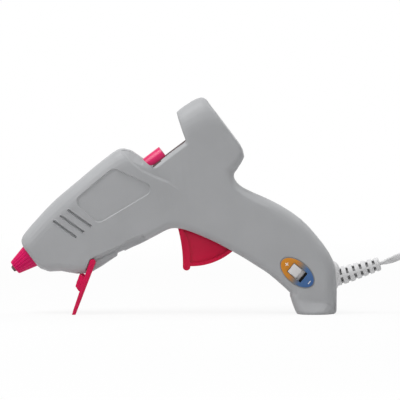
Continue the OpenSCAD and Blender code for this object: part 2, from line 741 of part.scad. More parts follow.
module trigger() {
    hw = trigger_w / 2;
    web = hw - 1.8;
    lip_end = lip_edge(lip_t / 2)[8];
    along = (drive - pivot) / arm_l;
    side = cheek_r * [-along[1], along[0]];
    color(pink) difference() {
        union() {
            side_plate(concat(lip_edge(0), turned(lip_edge(lip_t))), -hw, hw);
            cross_bar(lip_end, lip_t / 2, -hw, hw);
            side_plate([[2.9, 51], [7.6, 51], [15, 64], [7, 69]], -web, web);
            side_plate(concat(lip_edge(lip_t / 2), [pivot]), -web, web);
            side_plate(concat([pivot], trigger_arc(trigger_r - 0.3, -97, -49)), -web, web);
            side_plate(concat(trigger_arc(trigger_r, -92, -49), trigger_arc(trigger_r - 2.2, -49, -92)),
                0.3 - hw, hw - 0.3);
            cross_bar(pivot, pivot_d / 2 + 2.6, -hw, hw);
            for (y = [-cheek_y1, cheek_y0]) {
                side_plate([pivot + side, pivot - side, drive - side, drive + side], y, y + 2.4);
                cross_bar(drive, cheek_r, y, y + 2.4);
            }
        }
        cross_bar(pivot, pivot_d / 2 + pin_gap, -20, 20);
        cross_bar(drive, drive_d / 2 + 0.02, -20, 20);
    }
}

module pivot_pin() {
    color(steel) cross_bar(pivot, pivot_d / 2, 1.2 - handle_hw, handle_hw - 1.2);
}

module drive_pin() {
    color(steel) cross_bar(drive, drive_d / 2, -cheek_y1, cheek_y1);
}

// A round tube through a list of points; each ring stands across the route there
function unit(v) = v / norm(v);
function route_dir(p, i) = unit(p[min(i + 1, len(p) - 1)] - p[max(i - 1, 0)]);
function tube_ring(c, dir, side, r, sides) = let (up = cross(dir, side))
    [for (k = [0 : sides - 1]) c + r * (cos(k * 360 / sides) * side + sin(k * 360 / sides) * up)];
function tube_rings(p, r, sides, first, end) = [for (i = [0 : len(p) - 1])
    let (dir = i == 0 && first ? first : i == len(p) - 1 && end ? end : route_dir(p, i))
        tube_ring(p[i], dir, unit(cross(dir, [0, 0, 1])), r, sides)];

// The first and the last ring can be set square to a neighbour's end
module tube(points, d, sides, first = false, end = false) {
    skin(tube_rings(points, d / 2, sides, first, end));
}

spring_wire_d = 0.7;
spring_mean_r = spring_seat_r + spring_wire_d / 2 + slide_gap;
spring_turns = 9;
spring_s = drive_s + lug_l / 2 + 0.6;
feed_dir = [cos(feed_tilt), 0, sin(feed_tilt)];
feed_up = [-sin(feed_tilt), 0, cos(feed_tilt)];
spring_points = [for (i = [0 : spring_turns * 8]) let (
    a = i * 45,
    s = spring_s + (spring_end_s - spring_s) * i / (spring_turns * 8),
    c = on_feed(s, spring_n))
    [c[0], 0, c[1]] + spring_mean_r * (cos(a) * feed_up + sin(a) * [0, 1, 0])];

module return_spring() {
    color(steel) skin([for (i = [0 : len(spring_points) - 1]) let (dir = route_dir(spring_points, i))
        tube_ring(spring_points[i], dir, unit(cross(dir, feed_dir)), spring_wire_d / 2, 6)]);
}

module stand() {
    y0 = leg_y;
    y1 = leg_y + leg_t;
    w = leg_w / 2;
    foot = stood(leg_l, 0);
    web = [stood(web_d, w - 0.9), stood(web_d, web_f), stood(bar_end_d, web_f), stood(web_end_d, w - 0.9)];
    bar = [stood(bar_d, bar_f), stood(bar_d, web_f), stood(bar_end_d, web_f),
        stood(web_end_d - 0.2, bar_f)];
    color(pink) for (m = [0, 1]) mirror([0, m, 0]) {
        side_plate([stood(0, w), foot + [-leg_foot_w / 2, 0], foot + [leg_foot_w / 2, 0], stood(0, -w)],
            -y1, -y0);
        cross_bar(stand_pivot, eye_r, -y1, -y0);
        cross_bar(stand_pivot, stub_d / 2, -y0 - 0.5, 3 - leg_y);
        side_plate(web, -y1, -y0);
        side_plate(bar, -y0 - 0.5, 0);
    }
}

module switch_plate() {
    color([0.45, 0.45, 0.5]) difference() {
        side_plate(plate_oval(0), -plate_seat_y - plate_t, -plate_seat_y);
        side_plate(plate_box(0, window_l, window_w), -30, 0);
    }
}

module switch_slider() {
    a = -slider_travel / 2;
    color(pale) {
        side_plate(plate_box(a, slider_w, slider_w), -handle_hw - 1.4, 0.5 - slider_flange_y);
        side_plate(plate_box(a, slider_w + 5, slider_w + 2), -slider_flange_y, 1 - slider_flange_y);
    }
}

module switch_body() {
    color([0.15, 0.15, 0.16])
        side_plate(plate_box(0, switch_l, switch_w), -switch_y, switch_h - switch_y);
}

terminals = [-7, 0, 7];
terminal_y = switch_h - switch_y;

module switch_terminals() {
    color(brass) for (a = terminals)
        side_plate(plate_box(a, 0.8, 3), terminal_y, terminal_y + 4);
}

module low_heat_diode() {
    c = on_plate(terminals[0] + 0.5, 0);
    y = terminal_y + 2.6;
    color([0.1, 0.1, 0.1]) translate([c[0], y, c[1]]) rotate([0, 90 - plate_deg, 0]) {
        cylinder(r = 0.4, h = 6);
        translate([0, 0, 0.9]) cylinder(r = 1.3, h = 4.2);
    }
}

// Routes of the inner leads, on each side of the trigger
heat_route = [[67.6, -1.2, 30.5], [63.6, -2, 35], [57, -7.6, 41.6], [45, -8.8, 49.5], [30, -8.8, 55],
    [16, -8.8, 57], [0, -8.7, 58.5], [-12, -8.4, 59.5], [-24, -7, 58], [-36, -4.6, 53.5],
    [-45, -2.8, 49.6]];
neutral_route = [[83, 0.8, 18.4], [80.5, 3.4, 19.6], [77, 6, 22.6], [73, 7.2, 26.6], [68.6, 7.8, 31],
    [57, 8.6, 41], [45, 8.8, 49.5], [30, 8.8, 55], [16, 8.8, 57], [0, 8.7, 58.5], [-12, 8.4, 59.5],
    [-24, 7, 58], [-36, 4.6, 53.8], [-46, 3, 51]];
live_route = [[83, -0.6, 18.5], [82, -0.4, 19.2], [80.4, 0.2, 20.6]];

module lead_heat() {
    color([0.15, 0.15, 0.17]) tube(smoothed(heat_route, 2), lead_d, 6);
}

module lead_neutral() {
    color(pale) tube(smoothed(neutral_route, 2), lead_d, 6);
}

module lead_live() {
    color([0.15, 0.15, 0.17]) tube(live_route, lead_d - 0.6, 6);
}

module crimp_cap() {
    a = neutral_route[3];
    b = neutral_route[4];
    dir = unit(b - a);
    color(pale) translate((a + b) / 2)
        rotate([0, acos(dir[2]), atan2(dir[1], dir[0])]) difference() {
            cylinder(r = lead_d / 2 + 1.2, h = 8, center = true);
            cylinder(r = lead_d / 2 + 0.35, h = 9, center = true);
        }
}

module cord_clamp() {
    color([0.25, 0.25, 0.26]) difference() {
        side_plate([on_relief(clamp_s - 2.4, -8), on_relief(clamp_s + 2.4, -8),
            on_relief(clamp_s + 2.4, 8), on_relief(clamp_s - 2.4, 8)], -cord_r, cord_r + 1.8);
        at_relief(clamp_s - 6) {
            cylinder(r = cord_r + 0.15, h = 12);
            translate([-cord_r - 0.15, -cord_r - 1, 0]) cube([cord_d + 0.3, cord_r + 1, 12]);
        }
        for (n = [-clamp_n, clamp_n])
            cross_bar(on_relief(clamp_s, n), clamp_screw_r + seat_gap, -20, 20);
    }
}

module clamp_screws() {
    color(steel) for (n = [-clamp_n, clamp_n]) {
        cross_bar(on_relief(clamp_s, n), clamp_screw_r, -7, cord_r + 2);
        cross_bar(on_relief(clamp_s, n), 2, cord_r + 1.9, cord_r + 3.3);
    }
}

slot_count = 6;
slot_pitch = 3.95;
slot_w = 1.5;
slot_s0 = 4.1;
spine_w = 2.1;
core_w = 4.8;
slot_d = 0.8;
bell_gap = 0.7;
bell_hw = 9;
last_rib = len(body_ribs) - 1;
bell_back = concat([for (i = [last_rib : -1 : last_rib - 3]) [body_ribs[i][0] + bell_gap, body_ribs[i][1]]],
    [[relief_x + 20, relief_z + 14], [relief_x + 20, relief_z - 14]]);

// Slots above and below a spine on each side leave a core under the cord's line, and a bell lies against
// the handle's back
module strain_relief() {
    base = relief_base_d / 2;
    end = relief_end_d / 2;
    start = bell_l - 0.1;
    color([0.7, 0.7, 0.7]) difference() {
        union() {
            at_relief(start) cylinder(r1 = base, r2 = end, h = relief_l - 0.9);
            at_relief(start + relief_l - 1) cylinder(r1 = end, r2 = end - 0.9, h = 1);
            at_relief(-5.4) cylinder(r = relief_neck_r, h = start + 6);
            at_relief(-5.4) cylinder(r = relief_neck_r + 1.6, h = 1.6);
            intersection() {
                at_relief() rotate_extrude() polygon([[0, -4], [bell_r, -4], [bell_r, 0],
                    [bell_r - 0.6, 1.2], [bell_r - 1.8, 2.4], [base + 0.6, bell_l], [0, bell_l]]);
                side_plate(bell_back, -bell_hw, bell_hw);
            }
        }
        for (i = [0 : slot_count - 1]) {
            s = slot_s0 + i * slot_pitch;
            core = base + (end - base) * (s - start) / relief_l - slot_d;
            at_relief(s) difference() {
                cube([20, 20, slot_w], center = true);
                cube([2 * core, core_w, 4], center = true);
                cube([spine_w, 20, 4], center = true);
            }
        }
        at_relief(-9) cylinder(r = cord_r + 0.15, h = 60);
    }
}

// The cord from the clamp to the coil, points chosen along its lie
lead_route = [[84, 0, 18.76], [90, 0, 20.23], [97.6, 0, 22.1], [104, 0, 23.67], [111, 0, 25.39],
    [118, 0, 27.11], [124, 0, 28.6], [130, 0, 31], [136, 0, 34.2], [141.1, 0.4, 35.9], [146.2, 1.9, 36.2],
    [150.8, 4.4, 34.9], [154.8, 7.3, 32.6], [158.5, 10.1, 29.8], [162.4, 12.6, 27.1], [167.1, 14.4, 25.1]];
tie_t = 1;
coil_x = 178;
coil_y = -7.2;
coil_r = 22.2;
coil_pitch = cord_d + 0.8;
coil_rise = cord_d + 0.7;
coil_layers = 6;
layer_turns = 11 / 6;
coil_start_deg = 90;
coil_low = cord_r + tie_t + 0.1;

// Turns counted from the coil's start: the spiral winds in and out, and drops a layer where it turns
function coil_radius(t) = let (layer = min(floor(t / layer_turns), coil_layers - 1),
    part = t - layer * layer_turns)
    layer % 2 == 0 ? coil_r - coil_pitch * part : coil_r - coil_pitch * (layer_turns - part);
function ramp(x) = min(max(x, 0), 1);
function coil_drop(t, k = 1) = k >= coil_layers ? 0
    : ramp((t - k * layer_turns) * 2 + 0.5) + coil_drop(t, k + 1);
function coil_point(t) = let (a = coil_start_deg - 360 * t, r = coil_radius(t))
    [coil_x + r * cos(a), coil_y + r * sin(a), coil_low + coil_rise * (coil_layers - 1 - coil_drop(t))];
coil_turns = coil_layers * layer_turns;
coil_way = [sin(coil_start_deg), -cos(coil_start_deg), 0];
coil_middle = [for (i = [0 : round(coil_turns * 24)]) coil_point(i / 24)];
coil_route = concat([coil_middle[0] - cord_d * coil_way], coil_middle,
    [coil_middle[len(coil_middle) - 1] + cord_d * coil_way]);
coil_end = coil_route[len(coil_route) - 1];
coil_gap = min([for (i = [0 : len(coil_route) - 1])
    for (j = [i + 12 : 1 : len(coil_route) - 1])
        norm(coil_route[i] - coil_route[j])]) - cord_d;
coil_length = 2 * 180 / 180 * PI * (coil_r - coil_pitch * layer_turns / 2) * coil_turns;
echo(coil_gap = coil_gap, coil_length = coil_length, pull_deg = pull_deg, drive = drive);

module cord_lead() {
    joined = concat(lead_route, [coil_route[0] - 2 * coil_way, coil_route[0]]);
    color(pale) tube(smoothed(joined, 3), cord_d, 8, end = coil_way);
}

module cord_coil() {
    color(pale) tube(coil_route, cord_d, 6);
}

module coil_tie() {
    inner = coil_r - coil_pitch * layer_turns - cord_r - 0.6;
    width = coil_r + cord_r + 0.6 - inner;
    height = coil_rise * (coil_layers - 1) + cord_d + 0.3;
    color([0.2, 0.2, 0.2]) translate([coil_x, coil_y, 0]) rotate([0, 0, 205]) rotate([90, 0, 0])
        linear_extrude(7, center = true) difference() {
            translate([inner - tie_t, 0]) square([width + 2 * tie_t, height + 2 * tie_t]);
            translate([inner, tie_t]) square([width, height]);
        }
}

plug_x = 206;
plug_y = 7.2;
plug_z = 6.6;
plug_l = 20;
plug_w = 19;
plug_h = 13;
tail_route = [[188.5, 14.3, 3.2], [193, 12.3, 4.2], [197.1, 9.9, 5.3], [201.6, 7.9, 6.3],
    [206.5, 7.2, 6.6], [208.8, 7.2, 6.6]];

module cord_tail() {
    joined = concat([coil_end, coil_end + 2 * coil_way], tail_route);
    color(pale) tube(smoothed(joined, 3), cord_d, 8, first = coil_way);
}

module plug_body() {
    color(pale) translate([plug_x, plug_y, plug_z]) difference() {
        union() {
            hull() {
                translate([plug_l - 1, 0, 0]) cube([2, plug_w, plug_h], center = true);
                translate([plug_l - 7, 0, 0]) cube([2, plug_w, plug_h], center = true);
                rotate([0, 90, 0]) cylinder(d = 7.6, h = 2, $fn = 24);
            }
        }
        translate([-1, 0, 0]) rotate([0, 90, 0]) cylinder(r = cord_r + 0.15, h = 4);
        for (side = [-1, 1])
            translate([plug_l - 2, side * 6.35 - 0.85, -3.25]) cube([10, 1.7, 6.5]);
    }
}

module plug_blades() {
    color(brass) for (side = [-1, 1])
        translate([plug_x + plug_l - 1.9, plug_y + side * 6.35 - 0.75, plug_z - 3.15])
            cube([16.9, 1.5, 6.3]);
}

left_shell();
right_shell();
shell_screws();
nozzle_tip();
nozzle_sleeve();
melt_chamber();
heater_pills();
heater_contacts();
heater_film();
heater_clip();
inlet_sleeve();
sleeve_band();
inlet_ring();
feed_carriage();
grip_bush();
trigger();
pivot_pin();
drive_pin();
return_spring();
stand();
switch_plate();
switch_body();
switch_terminals();
switch_slider();
low_heat_diode();
lead_heat();
lead_neutral();
lead_live();
crimp_cap();
cord_clamp();
clamp_screws();
strain_relief();
cord_lead();
cord_coil();
coil_tie();
cord_tail();
plug_body();
plug_blades();
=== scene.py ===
"""Hot glue applicator: the looks of the gun, its cord and its stand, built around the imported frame."""

import json
import math

import bpy
import numpy as np
from mathutils import Matrix, Vector


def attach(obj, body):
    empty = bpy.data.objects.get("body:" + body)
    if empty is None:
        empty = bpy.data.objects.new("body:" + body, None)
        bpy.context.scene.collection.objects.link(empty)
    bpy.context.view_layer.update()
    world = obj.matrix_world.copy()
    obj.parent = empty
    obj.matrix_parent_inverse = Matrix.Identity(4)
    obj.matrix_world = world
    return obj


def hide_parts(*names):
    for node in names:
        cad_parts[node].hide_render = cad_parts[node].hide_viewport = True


# The object's places and sizes are in millimetres, those of the camera, floor and lamps in metres
MM = 0.001
TO_MM = 1000.0
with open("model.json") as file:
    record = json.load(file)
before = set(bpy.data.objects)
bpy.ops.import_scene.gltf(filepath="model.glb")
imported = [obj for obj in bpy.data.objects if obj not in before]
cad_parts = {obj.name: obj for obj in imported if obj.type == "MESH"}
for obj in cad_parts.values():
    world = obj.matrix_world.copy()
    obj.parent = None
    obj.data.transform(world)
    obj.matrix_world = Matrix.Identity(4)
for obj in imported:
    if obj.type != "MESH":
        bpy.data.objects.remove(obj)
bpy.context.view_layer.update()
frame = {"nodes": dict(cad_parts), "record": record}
scene = bpy.context.scene
scene.view_settings.view_transform = "Standard"


# Shader wiring

class Wire:
    """An output of a shader node. Arithmetic on it adds Math nodes."""

    def __init__(self, nodes, socket):
        self.nodes = nodes
        self.socket = socket

    def math(self, operation, *values):
        sockets = dict(enumerate(values))
        return self.nodes.put("ShaderNodeMath", {"operation": operation}, sockets)

    def __add__(self, other):
        return self.math("ADD", self, other)

    def __radd__(self, other):
        return self.math("ADD", other, self)

    def __sub__(self, other):
        return self.math("SUBTRACT", self, other)

    def __rsub__(self, other):
        return self.math("SUBTRACT", other, self)

    def __mul__(self, other):
        return self.math("MULTIPLY", self, other)

    def __rmul__(self, other):
        return self.math("MULTIPLY", other, self)

    def __truediv__(self, other):
        return self.math("DIVIDE", self, other)

    def __rtruediv__(self, other):
        return self.math("DIVIDE", other, self)

    def __gt__(self, other):
        return self.math("GREATER_THAN", self, other)

    def __lt__(self, other):
        return self.math("LESS_THAN", self, other)

    def most(self, other):
        return self.math("MAXIMUM", self, other)

    def size(self):
        return self.math("ABSOLUTE", self)

    def root(self):
        return self.math("SQRT", self)


class Nodes:
    """The nodes of a material or of the world."""

    def __init__(self, tree):
        self.tree = tree

    def set(self, node, sockets):
        for key, value in sockets.items():
            target = node.inputs[key]
            if isinstance(value, Wire):
                self.tree.links.new(value.socket, target)
            else:
                target.default_value = value

    def put(self, kind, settings=None, sockets=None, out=0):
        """Add any node, set it up, and give the wire of one of its outputs."""
        node = self.tree.nodes.new(kind)
        for key, value in (settings or {}).items():
            if key == "stops":
                ramp = node.color_ramp.elements
                while len(ramp) < len(value):
                    ramp.new(0.5)
                for stop, (place, colour) in zip(ramp, value):
                    stop.position = place
                    stop.color = colour
            else:
                setattr(node, key, value)
        self.set(node, sockets or {})
        return Wire(self, node.outputs[out])

    def seen(self):
        """1 for a ray from the camera, straight or by way of metal or glass, and 0 for other light."""
        straight, mirrored, through = (
            self.put("ShaderNodeLightPath", out=f"Is {kind} Ray")
            for kind in ("Camera", "Glossy", "Transmission")
        )
        return straight.most(mirrored).most(through)


class Paint(Nodes):
    """A material under construction, with its shader at hand."""

    def __init__(self, name, **shader):
        self.material = bpy.data.materials.new(name)
        self.material.use_nodes = True
        super().__init__(self.material.node_tree)
        self.shader = self.tree.nodes["Principled BSDF"]
        self.finish(**shader)
        self.place = self.put("ShaderNodeTexCoord", out="Object")

    def noise(self, scale, detail=2.0, rough=0.5, place=None):
        return self.put(
            "ShaderNodeTexNoise",
            sockets={"Vector": place or self.place, "Scale": scale, "Detail": detail, "Roughness": rough},
        )

    def ramp(self, factor, *stops):
        return self.put("ShaderNodeValToRGB", {"stops": stops}, {"Fac": factor})

    def blend(self, factor, a, b):
        return self.put("ShaderNodeMix", {"data_type": "RGBA"}, {0: factor, 6: a, 7: b}, out=2)

    def axes(self, place=None):
        return [
            self.put("ShaderNodeSeparateXYZ", sockets={0: place or self.place}, out=i) for i in range(3)
        ]

    def bump(self, height, strength, depth, under=None):
        sockets = {"Height": height, "Strength": strength, "Distance": depth}
        if under:
            sockets["Normal"] = under
        return self.put("ShaderNodeBump", sockets=sockets)

    def finish(self, **sockets):
        self.set(self.shader, {k.replace("_", " "): v for k, v in sockets.items()})
        return self.material


def rgb(r, g, b):
    """A colour given as it shows on a screen, 0 to 255."""
    lin = [c / 255 / 12.92 if c < 11 else ((c / 255 + 0.055) / 1.055) ** 2.4 for c in (r, g, b)]
    return (*lin, 1.0)


def shade(colour, k):
    return tuple(c * k for c in colour[:3]) + (1.0,)


# Finishes

PORES_A_METRE = 1 / 0.00045
PORE_DEPTH = 0.03 * MM
CLOUD_DEPTH = 0.2 * MM
STREAKS_A_METRE = 2600.0
STREAK = 0.25
STREAK_DEPTH = 0.02 * MM
DUST_DEPTH = 0.04 * MM
INK_DEPTH = 0.02 * MM

BODY_GREY = rgb(168, 169, 171)
HOT_PINK = rgb(208, 12, 76)
# Painted shade for the open slot's inner wall
FEED_SLOT_PAINTED_SHADE = rgb(70, 50, 50)
# The share of the boot's colour kept in the painted shade of its slots
BOOT_PAINTED_SHADE = 0.42


def moulded(name, colour, grain, rough, gloss=0.0, drift=0.06, inside=None):
    """Injection-moulded plastic: a fine spark-eroded grain, faint flow clouds and a soft sheen."""
    p = Paint(name, IOR=1.47, Coat_Roughness=0.2, Specular_IOR_Level=0.18)
    clouds = p.noise(38.0, 3.0)
    pores = p.noise(PORES_A_METRE, 2.0, 0.6)
    low, high = shade(colour, 1 - drift), shade(colour, 1 + drift * 0.7)
    tone = p.ramp(clouds * 0.7 + pores * 0.3, (0.3, low), (0.7, high))
    # Painted shade where the mask says
    if inside:
        tone = p.blend(inside(p), tone, FEED_SLOT_PAINTED_SHADE)
    return p.finish(
        Base_Color=tone,
        Roughness=rough + clouds * 0.08 + pores * 0.06 - 0.07,
        Coat_Weight=gloss + clouds * 0.04,
        Normal=p.bump(pores, grain, PORE_DEPTH, p.bump(clouds, 0.15, CLOUD_DEPTH)),
    )


def metal(name, colour, rough, dark=0.6, turned_about=None):
    """Bare metal with drawn or turned streaks and a little tarnish."""
    p = Paint(name, Metallic=1.0)
    if turned_about is None:
        lines = p.put(
            "ShaderNodeMapping",
            sockets={"Vector": p.place, "Scale": (90.0, STREAKS_A_METRE, STREAKS_A_METRE)},
        )
        streaks = p.noise(1.0, 2.0, 0.6, lines)
    else:
        along = p.put(
            "ShaderNodeVectorMath", {"operation": "DOT_PRODUCT"}, {0: p.place, 1: turned_about}, out="Value"
        )
        streaks = p.put(
            "ShaderNodeTexNoise", {"noise_dimensions": "1D"},
            {"W": along, "Scale": STREAKS_A_METRE, "Detail": 2.0},
        )
    stain = p.noise(260.0, 3.0, 0.6)
    stained = p.ramp(stain, (0.42, (0, 0, 0, 1)), (0.68, (1, 1, 1, 1)))
    return p.finish(
        Base_Color=p.blend(stained, colour, shade(colour, dark)),
        Roughness=rough + streaks * STREAK * 0.5 + stain * 0.12 - 0.1,
        Normal=p.bump(streaks, STREAK, STREAK_DEPTH),
    )


def soft_skin(name, colour, rough, grain=0.12, drift=0.07, inside=None):
    """Rubber, vinyl or silicone: dull, with fine dust in its texture."""
    p = Paint(name, IOR=1.5, Specular_IOR_Level=0.25)
    clouds = p.noise(90.0, 3.0)
    dust = p.noise(1700.0, 2.0, 0.7)
    low, high = shade(colour, 1 - drift), shade(colour, 1 + drift)
    tone = p.ramp(clouds * 0.5 + dust * 0.5, (0.3, low), (0.72, high))
    # Painted shade where the mask says
    if inside:
        tone = p.blend(inside(p), tone, shade(colour, BOOT_PAINTED_SHADE))
    return p.finish(
        Base_Color=tone,
        Roughness=rough + dust * 0.14 - 0.07,
        Normal=p.bump(dust, grain, DUST_DEPTH),
    )


# The feed line, from the end of the nozzle's sleeve up to the stick's inlet
FEED_TILT = math.radians(37)
FEED_DIR = (math.cos(FEED_TILT), 0.0, math.sin(FEED_TILT))
FEED_FOOT = (-95.3, 27.3)

# The open slot along it: its run, and the bounds of the painted shade between its rails
FEED_SLOT_RUN = (101.0, 130.0)
FEED_SLOT_FLOOR = -14.0
RAIL_CHAMFER = 9.95
RAIL_INNER = 11.35

# The oval of the heat switch, and the marks printed on it
PLATE_MIDDLE = (74.1, 25.2)
PLATE_TURN = math.radians(-39)
PLATE_HALF = (11.9, 6.7)
PRINT_RIM = 0.94
PLUS_AT = -8.0
MINUS_AT = 9.3
MARK_LONG = 1.15
MARK_THIN = 0.24

# The cord's boot: its middle line, its radii at both ends, and the painted shade in its slots
BOOT_LINE = [
    (96.0, 0, 21.6), (100.7, 0, 22.65), (104.7, 0, 23.7), (108.7, 0, 25.0),
    (112.7, 0, 26.35), (116.7, 0, 27.65), (120.8, 0, 28.95), (123.8, 0, 29.9),
]
BOOT_RADII = (5.75, 4.1)
SHADED_BELOW = 1.3
PLAIN_ENDS = 1.0


def feed_slot_painted_shade(p):
    """Where a half's inner wall lies below the rails of the open slot, out of the light: the place of its
    painted shade.
    """
    x, y, z = (axis * TO_MM for axis in p.axes())
    right, up, side = x - FEED_FOOT[0], z - FEED_FOOT[1], y.size()
    run = right * FEED_DIR[0] + up * FEED_DIR[2]
    rise = up * FEED_DIR[0] - right * FEED_DIR[2]
    behind_rail = (rise + side < RAIL_CHAMFER) * (side < RAIL_INNER)
    return behind_rail * (run > FEED_SLOT_RUN[0]) * (run < FEED_SLOT_RUN[1]) * (rise > FEED_SLOT_FLOOR)


def boot_slot_painted_shade(p):
    """Where the floors of the slots in the cord's boot lie deep: the place of their painted shade."""
    x, y, z = (axis * TO_MM for axis in p.axes())
    (x0, _, z0), (x1, _, z1) = BOOT_LINE[0], BOOT_LINE[-1]
    length = math.dist((x0, z0), (x1, z1))
    along, climb = (x1 - x0) / length, (z1 - z0) / length
    run = (x - x0) * along + (z - z0) * climb
    off = (z - z0) * along - (x - x0) * climb
    away = (off * off + y * y).root()
    base, end = BOOT_RADII
    deep = away + run * ((base - end) / length) < base - SHADED_BELOW
    return deep * (run > PLAIN_ENDS) * (run < length - PLAIN_ENDS)


def label_print():
    """The oval's print: orange at the hot end, blue at the other, with a plus and a minus mark."""
    p = Paint("label_print", IOR=1.5, Coat_Roughness=0.12, Specular_IOR_Level=0.2)
    turned_place = p.put(
        "ShaderNodeMapping",
        {"vector_type": "TEXTURE"},
        {
            "Vector": p.place,
            "Location": (PLATE_MIDDLE[0] * MM, 0.0, PLATE_MIDDLE[1] * MM),
            "Rotation": (0.0, -PLATE_TURN, 0.0),
        },
    )
    a, _, b = (axis * TO_MM for axis in p.axes(turned_place))
    ink = p.noise(2400.0, 2.0, 0.6)
    slope = a / (2 * PLATE_HALF[0]) + 0.5 + b * 0.006 + ink * 0.02
    field = p.ramp(
        slope,
        (0.0, rgb(208, 132, 28)),
        (0.36, rgb(200, 130, 36)),
        (0.55, rgb(122, 116, 110)),
        (0.68, rgb(68, 104, 150)),
        (1.0, rgb(54, 94, 152)),
    )
    out_a, out_b = a / PLATE_HALF[0], b / PLATE_HALF[1]
    rim = out_a * out_a + out_b * out_b > PRINT_RIM

    def bar(at, half_a, half_b):
        return ((a - at).size() < half_a) * (b.size() < half_b)

    plus = bar(PLUS_AT, MARK_LONG, MARK_THIN).most(bar(PLUS_AT, MARK_THIN, MARK_LONG))
    marks = plus.most(bar(MINUS_AT, MARK_THIN, MARK_LONG))
    colour = p.blend(marks, p.blend(rim, field, shade(BODY_GREY, 0.55)), rgb(236, 232, 226))
    return p.finish(
        Base_Color=colour, Roughness=0.3 + ink * 0.1, Coat_Weight=0.1 + ink * 0.1,
        Normal=p.bump(ink, 0.05, INK_DEPTH),
    )


FINISHES = {
    # The body's grey, with painted shade on the open slot's inner wall
    "grey_plastic": moulded("grey_plastic", BODY_GREY, 0.22, 0.46, inside=feed_slot_painted_shade),
    "pink_plastic": moulded("pink_plastic", HOT_PINK, 0.1, 0.36, gloss=0.05, drift=0.05),
    # The one pink, lighter and pinker: a painted highlight on the collar
    "pink_collar_painted_highlight": moulded("pink_collar_painted_highlight", rgb(216, 34, 100), 0.08, 0.3, gloss=0.14, drift=0.05),
    # The one pink, lighter and bluer: painted light on the sleeve
    "pink_sleeve_painted_light": moulded("pink_sleeve_painted_light", rgb(212, 16, 95), 0.1, 0.38, gloss=0.03, drift=0.05),
    # The one pink, darker and redder: painted shade on the trigger under the handle
    "pink_trigger_painted_shade": moulded("pink_trigger_painted_shade", rgb(206, 9, 62), 0.1, 0.36, gloss=0.04, drift=0.05),
    "white_plastic": moulded("white_plastic", rgb(212, 210, 210), 0.12, 0.4, gloss=0.05, drift=0.04),
    "black_plastic": moulded("black_plastic", rgb(34, 34, 36), 0.25, 0.5, drift=0.12),
    "plate": label_print(),
    "dark_metal": metal("dark_metal", rgb(112, 92, 88), 0.42, turned_about=FEED_DIR),
    "steel": metal("steel", rgb(172, 172, 174), 0.32),
    "aluminium": metal("aluminium", rgb(196, 196, 198), 0.46, dark=0.75),
    "brass": metal("brass", rgb(214, 178, 104), 0.28, dark=0.7),
    "ceramic": soft_skin("ceramic", rgb(136, 136, 140), 0.7, grain=0.3),
    "film": moulded("film", rgb(196, 130, 46), 0.03, 0.2, gloss=0.3, drift=0.1),
    "silicone": soft_skin("silicone", rgb(186, 78, 56), 0.55),
    "rubber": soft_skin("rubber", rgb(44, 44, 44), 0.62, grain=0.2, drift=0.15),
    "lead_dark": soft_skin("lead_dark", rgb(48, 48, 54), 0.48),
    "lead_pale": soft_skin("lead_pale", rgb(216, 214, 208), 0.48),
    "cord_grey": soft_skin("cord_grey", rgb(204, 204, 205), 0.44, grain=0.08, drift=0.04),
    # The boot's grey, with painted shade in its slots
    "relief_grey": soft_skin(
        "relief_grey", rgb(212, 212, 213), 0.5, grain=0.1, drift=0.04, inside=boot_slot_painted_shade
    ),
}
node_slots = {s["node"]: s["material_slot"] for s in frame["record"]["subparts"]}


def dress(obj, slot, body, finish=None):
    """Give a piece its finish, that of its slot unless another is named, and hang it from the empty of the
    body that it moves with.
    """
    obj.data.materials.clear()
    obj.data.materials.append(FINISHES[finish or slot])
    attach(obj, body)


# Modelling by hand

WELD = 0.002 * MM
TURNED_WELD = 0.005 * MM
FLAT_WITHIN = math.radians(1.0)


def only(obj):
    bpy.ops.object.select_all(action="DESELECT")
    obj.select_set(True)
    bpy.context.view_layer.objects.active = obj


def apply_modifier(obj, kind, **settings):
    only(obj)
    mod = obj.modifiers.new(kind.lower(), kind)
    for key, value in settings.items():
        setattr(mod, key, value)
    bpy.ops.object.modifier_apply(modifier=mod.name)


def copied(node, name):
    """A welded copy of a frame node, to be worked up into the shown piece."""
    source = frame["nodes"][node]
    obj = bpy.data.objects.new(name, source.data.copy())
    scene.collection.objects.link(obj)
    only(obj)
    bpy.ops.object.mode_set(mode="EDIT")
    bpy.ops.mesh.select_all(action="SELECT")
    bpy.ops.mesh.remove_doubles(threshold=WELD)
    bpy.ops.object.mode_set(mode="OBJECT")
    return obj


def smooth(obj, degrees):
    only(obj)
    bpy.ops.object.shade_smooth_by_angle(angle=math.radians(degrees))


def rounded(node, name, radius, segments=2, sharp=32.0):
    """A copy of a frame node with its flats cleaned and its sharp edges rounded."""
    obj = copied(node, name)
    bpy.ops.object.mode_set(mode="EDIT")
    bpy.ops.mesh.select_all(action="SELECT")
    bpy.ops.mesh.dissolve_limited(angle_limit=FLAT_WITHIN, delimit={"NORMAL"})
    bpy.ops.object.mode_set(mode="OBJECT")
    apply_modifier(
        obj, "BEVEL", width=radius * MM, segments=segments, limit_method="ANGLE",
        angle_limit=math.radians(sharp), use_clamp_overlap=True, miter_outer="MITER_ARC",
    )
    apply_modifier(obj, "TRIANGULATE", min_vertices=5)
    smooth(obj, 40)
    return obj


def mesh_places(mesh):
    """The mesh's points in millimetres, and their normals."""
    n = len(mesh.vertices)
    co = np.empty(3 * n)
    normal = np.empty(3 * n)
    mesh.vertices.foreach_get("co", co)
    mesh.vertices.foreach_get("normal", normal)
    return co.reshape(n, 3) / MM, normal.reshape(n, 3)


def put_places(mesh, co):
    mesh.vertices.foreach_set("co", (co * MM).ravel())
    mesh.update()


def softly(t):
    """From 0 to 1, easing in and out."""
    t = np.clip(t, 0, 1)
    return t * t * (3 - 2 * t)


